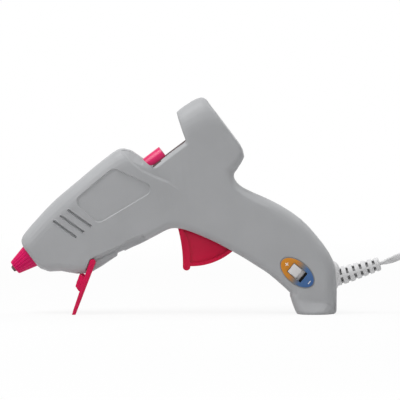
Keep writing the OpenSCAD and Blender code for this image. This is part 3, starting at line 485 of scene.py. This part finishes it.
def along_line(x, z, points):
    """For each place: its distance from the line, how far it lies to the left, its share of the way."""
    total = sum(math.dist(a, b) for a, b in zip(points, points[1:]))
    gone = 0.0
    nearest = np.full(len(x), 1e9)
    left = np.zeros(len(x))
    share = np.zeros(len(x))
    for a, b in zip(points, points[1:]):
        length = math.dist(a, b)
        way = (np.array(b) - np.array(a)) / length
        u = (x - a[0]) * way[0] + (z - a[1]) * way[1]
        v = (z - a[1]) * way[0] - (x - a[0]) * way[1]
        inside = np.clip(u, 0, length)
        away = np.hypot(v, u - inside)
        closer = away < nearest
        nearest = np.where(closer, away, nearest)
        left = np.where(closer, v, left)
        share = np.where(closer, (gone + inside) / total, share)
        gone += length
    return nearest, left, share


# The moulded halves, whose places are x and z in the side view

SHELL_VOXEL = 0.38
SHELL_SOFTENING = 4
SHELL_KEEP = 0.34

HOOD_TOP = (12.0, 119.0)
NECK = (35.0, 85.2)
NECK_FILL = (1.7, -0.5)
NECK_SPREAD = 3.4
# Corners to soften: middle, reach and rounds of smoothing
EASED = ((HOOD_TOP, 22.0, 60), (NECK, 9.0, 200))
# Distances from the seam: the surface within the first follows that between the second and third
SEAM_BAND = (2.5, 5.0, 8.0)
SEAM_BLUR = 0.5

PANEL = ((-35.4, 83.4), (-17.8, 75.4), (-44.3, 59.6), (-53.6, 68.0))
PANEL_ROUND = 4.0
# Depth and width of the steps that make the panel's wall
PANEL_STEPS = ((-0.85, 0.5), (0.6, 1.5))

VENTS = (
    ((-62.8, 62.6), (-49.7, 53.3)), ((-67.3, 59.2), (-54.2, 49.9)), ((-71.4, 56.0), (-58.6, 46.7)),
)
VENT_LIP = 0.4
VENT_LIP_AWAY = 0.85
VENT_DEPTH = 0.5
VENT_HALF = 0.5
VENT_EDGE = 0.2

SHOULDER = (
    (-31.7, 97.6), (-28.5, 94.3), (-24.3, 89.6), (-18.6, 85.3),
    (-11.1, 81.9), (-3.6, 78.9), (1.7, 75.5), (6.0, 73.0),
)
SHOULDER_HEIGHT = 0.75
SHOULDER_STEP = 1.45
SHOULDER_STEP_RUN = 1.5
SHOULDER_FADE = 11
SHOULDER_REACH = 18
# The share of its length over which the shoulder runs out
SHOULDER_TAIL = 0.3

FOOT_CREASE = (
    (71.5, 11.5), (75.8, 8.5), (79.9, 7.0), (85.8, 7.1), (90.0, 7.1), (93.8, 5.7), (97.5, 3.8),
)
CREASE_DEPTH = 1.15
CREASE_FADE = 5
# Where the crease starts or ends, and the length over which it does
CREASE_FRONT = (74, 8)
CREASE_BACK = (98.5, 2.5)
CREASE_TOP = (18, 6)

HANDLE_RIDGE = ((36.5, 75.8), (41.4, 71.6), (48.0, 68.0), (57.0, 63.5))
RIDGE_HEIGHT, RIDGE_HALF = 0.5, 1.3
KEEL_SEAMS = (((-47.0, 32.6), (-34.4, 38.6)), ((-30.0, 42.6), (-18.0, 47.9)))
KEEL_SEAM_HEIGHT, KEEL_SEAM_HALF = -0.6, 0.55

END_FACET = ((-31.7, 97.6), (-29.1, 95.0), (-24.5, 91.2), (-19.5, 89.0))
# The half-width left along the facet's edge, and how it falls off above the edge
FACET_SHARES = (0, 0.3, 0.7, 1)
FACET_WIDTHS = (14.6, 14.2, 14.4, 14.2)
FACET_SLOPE = 1.4
FACET_REACH = 7
FACET_LEAST = 4.0
FACET_WALL = 1.2
FACET_SLACK = 0.05

# A point is on the outer side if it faces outwards this much and lies this far out
FACING = 0.2
OUTER_SIDE = 8.5


def fill_neck(obj):
    """Bring the hollow between hood and handle outwards."""
    co, _ = mesh_places(obj.data)
    near = np.exp(-((co[:, 0] - NECK[0]) ** 2 + (co[:, 2] - NECK[1]) ** 2) / NECK_SPREAD ** 2)
    co[:, 0] += NECK_FILL[0] * near
    co[:, 2] += NECK_FILL[1] * near
    put_places(obj.data, co)


def close_seam(obj, before, near):
    """Keep the halves together where a corner was softened: the seam goes the way the sides went."""
    co, _ = mesh_places(obj.data)
    inner, outer, last = SEAM_BAND
    wide = np.abs(before[:, 1])
    guides = np.nonzero(near & (wide > outer) & (wide < last))[0]
    gone = co[guides] - before[guides]
    for i in np.nonzero(near & (wide <= outer))[0]:
        away = (before[guides, 0] - before[i, 0]) ** 2 + (before[guides, 2] - before[i, 2]) ** 2
        weight = np.exp(-(away - away.min()) / SEAM_BLUR)
        shift = weight @ gone / weight.sum()
        goal = before[i] + (shift[0], 0.0, shift[2])
        own = softly((wide[i] - inner) / (outer - inner))
        co[i] = goal + (co[i] - goal) * own
    put_places(obj.data, co)


def ease_round(obj, middle, reach, rounds):
    """Soften one corner of the half into a fillet, with its seam kept shut."""
    before, _ = mesh_places(obj.data)
    away = np.hypot(before[:, 0] - middle[0], before[:, 2] - middle[1])
    group = obj.vertex_groups.new(name="eased")
    for i in np.nonzero(away < reach)[0]:
        group.add([int(i)], float(min(1.0, 2 * (1 - away[i] / reach))), "REPLACE")
    apply_modifier(obj, "SMOOTH", factor=0.5, iterations=rounds, vertex_group=group.name)
    obj.vertex_groups.clear()
    close_seam(obj, before, away < reach)


def panel_push(x, z):
    """A crisp wall round the sunk panel."""
    away, _, _ = along_line(x, z, PANEL + PANEL[:1])
    inner = np.ones(len(x), bool)
    for a, b in zip(PANEL, PANEL[1:] + PANEL[:1]):
        inner &= (z - a[1]) * (b[0] - a[0]) - (x - a[0]) * (b[1] - a[1]) < 0
    beyond = np.where(inner, -away, away) - PANEL_ROUND
    return sum(depth * softly(0.5 - beyond / width) for depth, width in PANEL_STEPS)


def vent_push(x, z):
    """Narrow the vent grooves and deepen them."""
    push = np.zeros(len(x))
    for vent in VENTS:
        away, _, _ = along_line(x, z, vent)
        lip = VENT_LIP * np.exp(-((away - VENT_LIP_AWAY) / VENT_EDGE) ** 2)
        push += lip - VENT_DEPTH * np.clip((VENT_HALF - away) / VENT_EDGE, 0, 1)
    return push


def shoulder_push(x, z):
    """A raised edge along the shoulder, behind which the waist is set back."""
    away, above, share = along_line(x, z, SHOULDER)
    fade = np.clip((1 - share) / SHOULDER_TAIL, 0, 1) * np.clip(1.3 - away / SHOULDER_REACH, 0, 1)
    step = SHOULDER_STEP * softly(above / SHOULDER_STEP_RUN)
    return fade * (SHOULDER_HEIGHT - step) * np.exp(-away / SHOULDER_FADE)


def foot_push(x, z):
    """A crease above the foot, below which the sides flare out to the floor."""
    crease = np.interp(x, *zip(*FOOT_CREASE))
    depth = np.where(z < crease, z / crease, np.exp(-np.maximum(z - crease, 0) / CREASE_FADE))
    front = np.clip((x - CREASE_FRONT[0]) / CREASE_FRONT[1], 0, 1)
    back = np.clip((CREASE_BACK[0] - x) / CREASE_BACK[1], 0, 1)
    top = np.clip((CREASE_TOP[0] - z) / CREASE_TOP[1], 0, 1)
    return -CREASE_DEPTH * depth * (front * back) * top


def line_push(x, z, points, height, half):
    """A rounded ridge, or a groove, along a line."""
    away, _, share = along_line(x, z, points)
    return height * np.exp(-(away / half) ** 2) * np.clip(8 * share * (1 - share) + 0.2, 0, 1)


def facet_limit(x, z, faces):
    """Where the facet at the nose's end cuts the half, and the half-width that it leaves there."""
    away, above, share = along_line(x, z, END_FACET)
    across = (above > 0) & (np.abs(away - np.abs(above)) < FACET_SLACK) & (above < FACET_REACH)
    limit = np.interp(share, FACET_SHARES, FACET_WIDTHS) - FACET_SLOPE * above
    limit = np.where(faces > -FACING, limit, limit - FACET_WALL)
    return across, np.maximum(limit, FACET_LEAST)


def model_side(obj):
    """Work the half's outer side: panel, vents, shoulder, keel and foot."""
    mesh = obj.data
    co, normal = mesh_places(mesh)
    x, z = co[:, 0], co[:, 2]
    wide = np.abs(co[:, 1])
    out = np.sign(co[:, 1])
    faces = normal[:, 1] * out
    push = panel_push(x, z) + vent_push(x, z) + shoulder_push(x, z) + foot_push(x, z)
    push += line_push(x, z, HANDLE_RIDGE, RIDGE_HEIGHT, RIDGE_HALF)
    for seam in KEEL_SEAMS:
        push += line_push(x, z, seam, KEEL_SEAM_HEIGHT, KEEL_SEAM_HALF)
    moved = wide + np.where((faces > FACING) & (wide > OUTER_SIDE), push, 0)
    across, limit = facet_limit(x, z, faces)
    co[:, 1] = np.where(across, np.minimum(moved, limit), moved) * out
    put_places(mesh, co)


def soft_shell(node, name):
    """A moulded half: its edges are eased all over, the way a mould's are."""
    obj = copied(node, name)
    apply_modifier(obj, "REMESH", mode="VOXEL", voxel_size=SHELL_VOXEL * MM, adaptivity=0.0)
    apply_modifier(obj, "SMOOTH", factor=0.5, iterations=SHELL_SOFTENING)
    fill_neck(obj)
    for middle, reach, rounds in EASED:
        ease_round(obj, middle, reach, rounds)
    model_side(obj)
    apply_modifier(obj, "DECIMATE", decimate_type="COLLAPSE", ratio=SHELL_KEEP)
    smooth(obj, 60)
    return obj


# The camera looks along +Y from a little above, where the picture was taken

PICTURE_MIDDLE = Vector((15.9, 0.0, 68.05)) * MM
PICTURE_WIDTH = 240 * MM
CAMERA_AWAY = 4.0
CAMERA_RISE = math.radians(3.0)
SENSOR = 36.0

camera = bpy.data.objects.new("camera", bpy.data.cameras.new("camera"))
scene.collection.objects.link(camera)
camera.data.sensor_width = SENSOR
camera.data.lens = SENSOR * CAMERA_AWAY / PICTURE_WIDTH
camera.data.clip_start = 0.05
camera.data.clip_end = 50.0
toward = Vector((0.0, math.cos(CAMERA_RISE), -math.sin(CAMERA_RISE)))
camera.location = PICTURE_MIDDLE - toward * CAMERA_AWAY
camera.rotation_mode = "QUATERNION"
camera.rotation_quaternion = toward.to_track_quat("-Z", "Y")
scene.camera = camera


# The cord: two cores side by side in one skin, with a slow twist, from the clamp to the plug

CORD_D = 3.6
LEAD_ROUTE = [
    (84, 0, 18.76), (90, 0, 20.1), (97.6, 0, 21.9), (104, 0, 23.5),
    (111, 0, 25.75), (118, 0, 28.05), (124, 0, 29.9), (130, 0, 31.8),
    (136, 0, 34.2), (141.1, 0.4, 35.9), (146.2, 1.9, 36.2), (150.8, 4.4, 34.9),
    (154.8, 7.3, 32.6), (158.5, 10.1, 29.8), (162.4, 12.6, 27.1), (167.1, 14.4, 25.1),
]
TAIL_ROUTE = [
    (188.5, 14.3, 3.2), (193, 12.3, 4.2), (197.1, 9.9, 5.3),
    (201.6, 7.9, 6.3), (206.5, 7.2, 6.6), (208.8, 7.2, 6.6),
]
ROUTE_PARTS = 5
COIL_MIDDLE = (178.0, -7.2)
COIL_R = 22.2
COIL_PITCH = CORD_D + 0.8
COIL_RISE = CORD_D + 0.7
COIL_LOW = CORD_D / 2 + 1.1
COIL_LAYERS = 6
LAYER_TURNS = 11 / 6
COIL_START = 90.0
TURN_PARTS = 36

# The flat section turns onto its edge behind the boot, and then twists slowly
FLIP_AT = 40
FLIP_OVER = 13
TWIST_PITCH = 160
LOBE_R = 1.12
LOBE_APART = 0.98
WAIST = 0.25
WAIST_SHARPNESS = 9
CORD_SIDES = 18


def coil_point(t):
    """The coil's middle line after so many turns: layers wound inwards and outwards by turns."""
    layer = min(int(t / LAYER_TURNS), COIL_LAYERS - 1)
    part = t - layer * LAYER_TURNS
    inward = part if layer % 2 == 0 else LAYER_TURNS - part
    r = COIL_R - COIL_PITCH * inward
    drop = sum(min(max((t - k * LAYER_TURNS) * 2 + 0.5, 0), 1) for k in range(1, COIL_LAYERS))
    a = math.radians(COIL_START - 360 * t)
    return np.array([
        COIL_MIDDLE[0] + r * math.cos(a),
        COIL_MIDDLE[1] + r * math.sin(a),
        COIL_LOW + COIL_RISE * (COIL_LAYERS - 1 - drop),
    ])


def curve_through(points, parts):
    """A smooth curve through the points, each span in so many parts."""
    p = [np.array(q, float) for q in points]
    out = []
    for i in range(len(p) - 1):
        a, b, c, d = p[max(i - 1, 0)], p[i], p[i + 1], p[min(i + 2, len(p) - 1)]
        square = 2 * a - 5 * b + 4 * c - d
        cube = 3 * b - a - 3 * c + d
        for k in range(parts):
            t = k / parts
            out.append(0.5 * (2 * b + (c - a) * t + square * t * t + cube * t ** 3))
    return out + [p[-1]]


def cord_line():
    """The cord's middle line in metres: the lead, the coil and the tail."""
    way = np.array([math.sin(math.radians(COIL_START)), -math.cos(math.radians(COIL_START)), 0.0])
    turns = COIL_LAYERS * LAYER_TURNS
    coil = [coil_point(i / TURN_PARTS) for i in range(round(turns * TURN_PARTS) + 1)]
    start = coil[0] - CORD_D * way
    end = coil[-1] + CORD_D * way
    lead = curve_through(LEAD_ROUTE + [start - 2 * way, start], ROUTE_PARTS)
    tail = curve_through([end, end + 2 * way] + TAIL_ROUTE, ROUTE_PARTS)
    return np.array(lead + coil + tail) * MM


def cord_twist(run):
    """How far the flat section has turned after so many millimetres."""
    quarter = 90 * float(softly((run - FLIP_AT) / FLIP_OVER))
    return math.radians(quarter + 360 * max(run - FLIP_AT - FLIP_OVER, 0) / TWIST_PITCH)


def swept(name, line, ring):
    """A closed tube along the line. The ring gives the section's points after so many millimetres."""
    verts, faces = [], []
    run = 0.0
    for i, p in enumerate(line):
        ahead = line[min(i + 1, len(line) - 1)] - line[max(i - 1, 0)]
        ahead = ahead / np.linalg.norm(ahead)
        side = np.cross(ahead, (0.0, 0.0, 1.0))
        side = side / np.linalg.norm(side)
        up = np.cross(side, ahead)
        run += float(np.linalg.norm(p - line[max(i - 1, 0)])) / MM
        section = ring(run)
        sides = len(section)
        verts += [tuple(p + (side * u + up * v) * MM) for u, v in section]
    for i in range(len(line) - 1):
        for k in range(sides):
            a, b = i * sides + k, i * sides + (k + 1) % sides
            faces.append((a, b, b + sides, a + sides))
    faces.append(tuple(range(sides - 1, -1, -1)))
    faces.append(tuple((len(line) - 1) * sides + k for k in range(sides)))
    mesh = bpy.data.meshes.new(name)
    mesh.from_pydata(verts, [], faces)
    obj = bpy.data.objects.new(name, mesh)
    scene.collection.objects.link(obj)
    only(obj)
    bpy.ops.object.mode_set(mode="EDIT")
    bpy.ops.mesh.select_all(action="SELECT")
    bpy.ops.mesh.normals_make_consistent(inside=False)
    bpy.ops.object.mode_set(mode="OBJECT")
    return obj


def twin_ring(run):
    """The cord's section: two round lobes with a waist between them, turned as the cord twists."""
    turn = cord_twist(run)
    points = []
    for k in range(CORD_SIDES):
        a = 2 * math.pi * k / CORD_SIDES
        waist = 1 - WAIST * math.exp(-WAIST_SHARPNESS * abs(math.cos(a)))
        u = math.copysign(LOBE_APART, math.cos(a)) + LOBE_R * math.cos(a)
        v = LOBE_R * math.sin(a) * waist
        points.append((u * math.cos(turn) - v * math.sin(turn), u * math.sin(turn) + v * math.cos(turn)))
    return points


line = cord_line()
mains_cord = swept("mains_cord", line, twin_ring)
smooth(mains_cord, 60)
dress(mains_cord, "cord_grey", "gun")
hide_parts("cord_lead", "cord_coil", "cord_tail")

# The boot's slots, from its base on: their places, half-width, depths and the spine between them
BOOT_SLOTS = [4.85 + 4.12 * i for i in range(6)]
BOOT_SLOT_HALF = 0.72
BOOT_SLOT_DEPTH = 2.3
BOOT_SLOT_REACH = 0.88
BOOT_SLOT_NOTCH = 0.75
BOOT_SLOT_WALL = 0.04
SPINE_HALF = 0.9
BOOT_LINE_PARTS = 40
BOOT_SIDES = 120
BOOT_PARTS = 24
BOOT_END = 1.0
BOOT_END_ROUND = 0.9
BOOT_END_STOPS = (0.2, 0.45, 0.7)

DOME_MIDDLE = Vector((94.3, 0.0, 21.8)) * MM
DOME_TILT = math.radians(-7)
DOME_HALF = (6.1, 8.8, 9.7)


def boot_ring(run, length):
    """The boot's section: slots above and below a spine on each side."""
    base, end = BOOT_RADII
    r = base + (end - base) * run / length
    r -= BOOT_END_ROUND * max(0.0, (run - length + BOOT_END)) ** 2
    cut = any(abs(run - s) < BOOT_SLOT_HALF for s in BOOT_SLOTS)
    points = []
    for k in range(BOOT_SIDES):
        a = 2 * math.pi * k / BOOT_SIDES
        off = abs(math.sin(a))
        depth = BOOT_SLOT_DEPTH if off < BOOT_SLOT_REACH else BOOT_SLOT_NOTCH
        if not cut or off * r < SPINE_HALF:
            depth = 0.0
        points.append(((r - depth) * math.cos(a), (r - depth) * math.sin(a)))
    return points


def ribbed_boot(name):
    """The boot on the cord, bending up a little towards its end."""
    way = np.array(curve_through(BOOT_LINE, BOOT_LINE_PARTS))
    runs = np.concatenate([[0.0], np.cumsum(np.linalg.norm(np.diff(way, axis=0), axis=1))])
    length = float(runs[-1])
    walls = [s + side * BOOT_SLOT_HALF for s in BOOT_SLOTS for side in (-1, 1)]
    stops = [wall + e for wall in walls for e in (-BOOT_SLOT_WALL, BOOT_SLOT_WALL)]
    stops += [length * i / BOOT_PARTS for i in range(BOOT_PARTS + 1)]
    stops += [length - e for e in BOOT_END_STOPS]
    stops = sorted(set(stops))
    places = np.array([[np.interp(t, runs, way[:, k]) for k in range(3)] for t in stops]) * MM
    obj = swept(name, places, lambda run: boot_ring(run, length))
    smooth(obj, 35)
    return obj


def cord_dome(name):
    """The rounded end of the boot that lies against the handle's back."""
    ahead = Vector((math.cos(DOME_TILT), 0.0, math.sin(DOME_TILT)))
    bpy.ops.object.select_all(action="DESELECT")
    bpy.ops.mesh.primitive_uv_sphere_add(segments=64, ring_count=32, radius=1.0)
    obj = bpy.context.active_object
    obj.name = name
    stretch = Matrix.Diagonal((*(half * MM for half in DOME_HALF), 1.0))
    obj.data.transform(Matrix.Translation(DOME_MIDDLE) @ Matrix.Rotation(-DOME_TILT, 4, "Y") @ stretch)
    bpy.ops.object.mode_set(mode="EDIT")
    bpy.ops.mesh.select_all(action="SELECT")
    bpy.ops.mesh.bisect(plane_co=DOME_MIDDLE, plane_no=ahead, use_fill=True, clear_inner=True)
    bpy.ops.object.mode_set(mode="OBJECT")
    smooth(obj, 40)
    return obj


relief = ribbed_boot("ribbed_relief")
dress(relief, "cord_grey", "gun", "relief_grey")
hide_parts("strain_relief")

dome = cord_dome("cord_dome")
dress(dome, "cord_grey", "gun", "relief_grey")

tie = rounded("coil_tie", "tie_band", 0.35)
dress(tie, "rubber", "gun")
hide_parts("coil_tie")

plug = rounded("plug_body", "plug_grip", 1.1, segments=3, sharp=20)
dress(plug, "cord_grey", "gun")
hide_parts("plug_body")

blades = rounded("plug_blades", "plug_pins", 0.3)
dress(blades, "brass", "gun")
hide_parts("plug_blades")


# The grey halves

for node, name in (("left_shell", "left_half"), ("right_shell", "right_half")):
    half = soft_shell(node, name)
    dress(half, "grey_plastic", "gun")
    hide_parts(node)

inlet = rounded("inlet_ring", "stick_inlet", 0.3)
dress(inlet, "grey_plastic", "gun")
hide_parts("inlet_ring")


# The pink pieces

# The nozzle's sleeve: radii, and places along the feed line from the sleeve's end
SLEEVE_ENDS = (4.3, 7.3)
SLEEVE_LENGTH = 12.0
TIP_BORE = 2.5
SLEEVE_BORE = 5.4
BORE_TAPER = (3.0, 7.5)
SLEEVE_NECK = 6.95
FLANGE_R = 8.55
FLANGE_RUN = (14.5, 16.3)
SLEEVE_GROOVES = 20
GROOVE_PARTS = 12
GROOVE_DEPTH = 0.45
# Where the grooves run along the cone, and the length over which they fade at both ends
GROOVE_RUN = (-0.1, 11.7)
GROOVE_FADE = 0.9
CONE_END = 11.9
CONE_BORE = 3.2


def feed_frame():
    """The feed line's foot and direction, and the direction square to it in the middle plane."""
    foot = np.array([FEED_FOOT[0], 0.0, FEED_FOOT[1]])
    ahead = np.array(FEED_DIR)
    across = np.array([-FEED_DIR[2], 0.0, FEED_DIR[0]])
    return foot, ahead, across


def turned(name, profile, steps):
    """A ring turned about the feed line from a closed profile of places along it and radii."""
    foot, ahead, across = feed_frame()
    points = [tuple((foot + ahead * s + across * r) * MM) for s, r in profile]
    mesh = bpy.data.meshes.new(name)
    mesh.from_pydata(points, [(i, (i + 1) % len(points)) for i in range(len(points))], [])
    obj = bpy.data.objects.new(name, mesh)
    scene.collection.objects.link(obj)
    only(obj)
    bpy.ops.object.mode_set(mode="EDIT")
    bpy.ops.mesh.select_all(action="SELECT")
    bpy.ops.mesh.spin(steps=steps, angle=2 * math.pi, center=tuple(foot * MM), axis=tuple(ahead))
    bpy.ops.mesh.select_all(action="SELECT")
    bpy.ops.mesh.remove_doubles(threshold=TURNED_WELD)
    bpy.ops.mesh.normals_make_consistent(inside=False)
    bpy.ops.object.mode_set(mode="OBJECT")
    return obj


def grooved_sleeve(name):
    """The nozzle's sleeve: a cone with fine grooves along it, and the flange that holds it in the nose."""
    end, base = SLEEVE_ENDS
    front, back = FLANGE_RUN
    cone = [0.9, 1.5, 2.4, 4.0, 6.0, 8.0, 9.6, 10.6, 11.2, 11.6]
    round_end = [(0.0, 3.9), (0.12, 4.13), (0.4, end + 0.02)]
    round_base = [(11.85, 7.2), (SLEEVE_LENGTH, 7.05)]
    profile = [(0.0, TIP_BORE)] + round_end
    profile += [(s, end + (base - end) * s / SLEEVE_LENGTH) for s in cone]
    profile += round_base + [(front, SLEEVE_NECK), (front, FLANGE_R), (back, FLANGE_R), (back, SLEEVE_BORE)]
    profile += [(BORE_TAPER[1], SLEEVE_BORE), (BORE_TAPER[0], TIP_BORE)]
    obj = turned(name, profile, SLEEVE_GROOVES * GROOVE_PARTS)
    foot, ahead, across = feed_frame()
    for vertex in obj.data.vertices:
        place = np.array(vertex.co) / MM - foot
        s = float(place @ ahead)
        out = place - ahead * s
        r = float(np.linalg.norm(out))
        if r < CONE_BORE or s > CONE_END:
            continue
        a = math.atan2(out[1], float(out @ across))
        groove = (0.5 + 0.5 * math.cos(SLEEVE_GROOVES * a)) ** 3
        starts = min(max((s - GROOVE_RUN[0]) / GROOVE_FADE, 0), 1)
        stops = min(max((GROOVE_RUN[1] - s) / GROOVE_FADE, 0), 1)
        vertex.co -= Vector(out / r * (GROOVE_DEPTH * groove * starts * stops) * MM)
    smooth(obj, 50)
    return obj


sleeve = grooved_sleeve("ribbed_sleeve")
dress(sleeve, "pink_plastic", "gun", "pink_sleeve_painted_light")
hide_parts("nozzle_sleeve")

# Node, piece, rounding, body and finish
PINK = (
    ("feed_carriage", "feed_collar", 0.35, "carriage", "pink_collar_painted_highlight"),
    ("trigger", "pull_trigger", 0.6, "trigger", "pink_trigger_painted_shade"),
    ("stand", "folding_stand", 0.45, "stand", "pink_plastic"),
)
STAND_PIVOT = Vector((-48.3, 0.0, 31.6)) * MM
STAND_TILT = math.radians(250.2)
WEB_AHEAD = 2.1
WEB_TOP = 11.4
WEB_RAISE = 0.9


def raise_web(obj):
    """Bring the top of the stand's web close under the nose."""
    down = Vector((math.cos(STAND_TILT), 0.0, math.sin(STAND_TILT)))
    ahead = Vector((math.sin(STAND_TILT), 0.0, -math.cos(STAND_TILT)))
    for vertex in obj.data.vertices:
        place = vertex.co - STAND_PIVOT
        if place.dot(ahead) > WEB_AHEAD * MM and place.dot(down) < WEB_TOP * MM:
            vertex.co -= down * WEB_RAISE * MM


for node, name, radius, body, finish in PINK:
    piece = rounded(node, name, radius)
    if node == "stand":
        raise_web(piece)
    dress(piece, "pink_plastic", body, finish)
    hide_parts(node)

tip = rounded("nozzle_tip", "metal_tip", 0.15)
dress(tip, "dark_metal", "gun")
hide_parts("nozzle_tip")


# The heat switch

plate = rounded("switch_plate", "oval_label", 0.3, sharp=50)
dress(plate, "plate", "gun")
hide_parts("switch_plate")

knob = rounded("switch_slider", "slide_knob", 0.25)
dress(knob, "white_plastic", "slider")
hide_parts("switch_slider")

for node, obj in frame["nodes"].items():
    obj.data.materials.clear()
    obj.data.materials.append(FINISHES[node_slots[node]])


# A pale floor, and soft light from large lamps

FLOOR_SIZE = 14.0
FLOOR_NEAR, FLOOR_FAR = 0.25, 0.8
NEAR_GLOW = 0.88
WORLD_LIGHT = 0.26
LAMP_AIM = Vector((0, 0, 0.06))
# Name, place, width and power
LAMPS = (
    ("key", (-0.55, -0.27, 1.25), 0.9, 17.0),
    ("fill", (0.5, -1.3, 0.5), 0.9, 1.9),
    ("back", (0.8, 0.4, 0.95), 0.8, 4.5),
)


def floor_paint():
    """Pale and shadowed near the object, and plain white further off."""
    p = Paint("pale_floor", Roughness=0.8)
    cloud = p.noise(3.0, 2.0)
    p.finish(Base_Color=p.ramp(cloud, (0.2, rgb(222, 222, 222)), (0.8, rgb(226, 226, 226))))
    glow = p.put("ShaderNodeEmission", sockets={"Color": (1, 1, 1, 1), "Strength": 1.0})
    x, y, _ = p.axes()
    far = p.put(
        "ShaderNodeMapRange", {"interpolation_type": "SMOOTHSTEP"},
        {
            "Value": (x * x + y * y).root(), "From Min": FLOOR_NEAR, "From Max": FLOOR_FAR,
            "To Min": NEAR_GLOW, "To Max": 1.0,
        },
    )
    mixed = p.put(
        "ShaderNodeMixShader",
        sockets={0: p.seen() * far, 1: Wire(p, p.shader.outputs[0]), 2: glow},
    )
    p.set(p.tree.nodes["Material Output"], {"Surface": mixed})
    return p.material


bpy.ops.object.select_all(action="DESELECT")
bpy.ops.mesh.primitive_plane_add(size=FLOOR_SIZE, location=(0.0, 0.0, 0.0))
floor = bpy.context.active_object
floor.name = "floor"
floor.data.materials.append(floor_paint())

world = bpy.data.worlds.new("studio")
world.use_nodes = True
scene.world = world
studio = Nodes(world.node_tree)
level = studio.put(
    "ShaderNodeMapRange", sockets={"Value": studio.seen(), "To Min": WORLD_LIGHT, "To Max": 1.0}
)
studio.set(studio.tree.nodes["Background"], {"Color": (1.0, 1.0, 1.0, 1.0), "Strength": level})

for name, at, size, power in LAMPS:
    light = bpy.data.lights.new(name, "AREA")
    light.shape = "DISK"
    light.size = size
    light.energy = power
    lamp = bpy.data.objects.new(name, light)
    scene.collection.objects.link(lamp)
    lamp.location = at
    lamp.rotation_mode = "QUATERNION"
    lamp.rotation_quaternion = (LAMP_AIM - Vector(at)).to_track_quat("-Z", "Y")
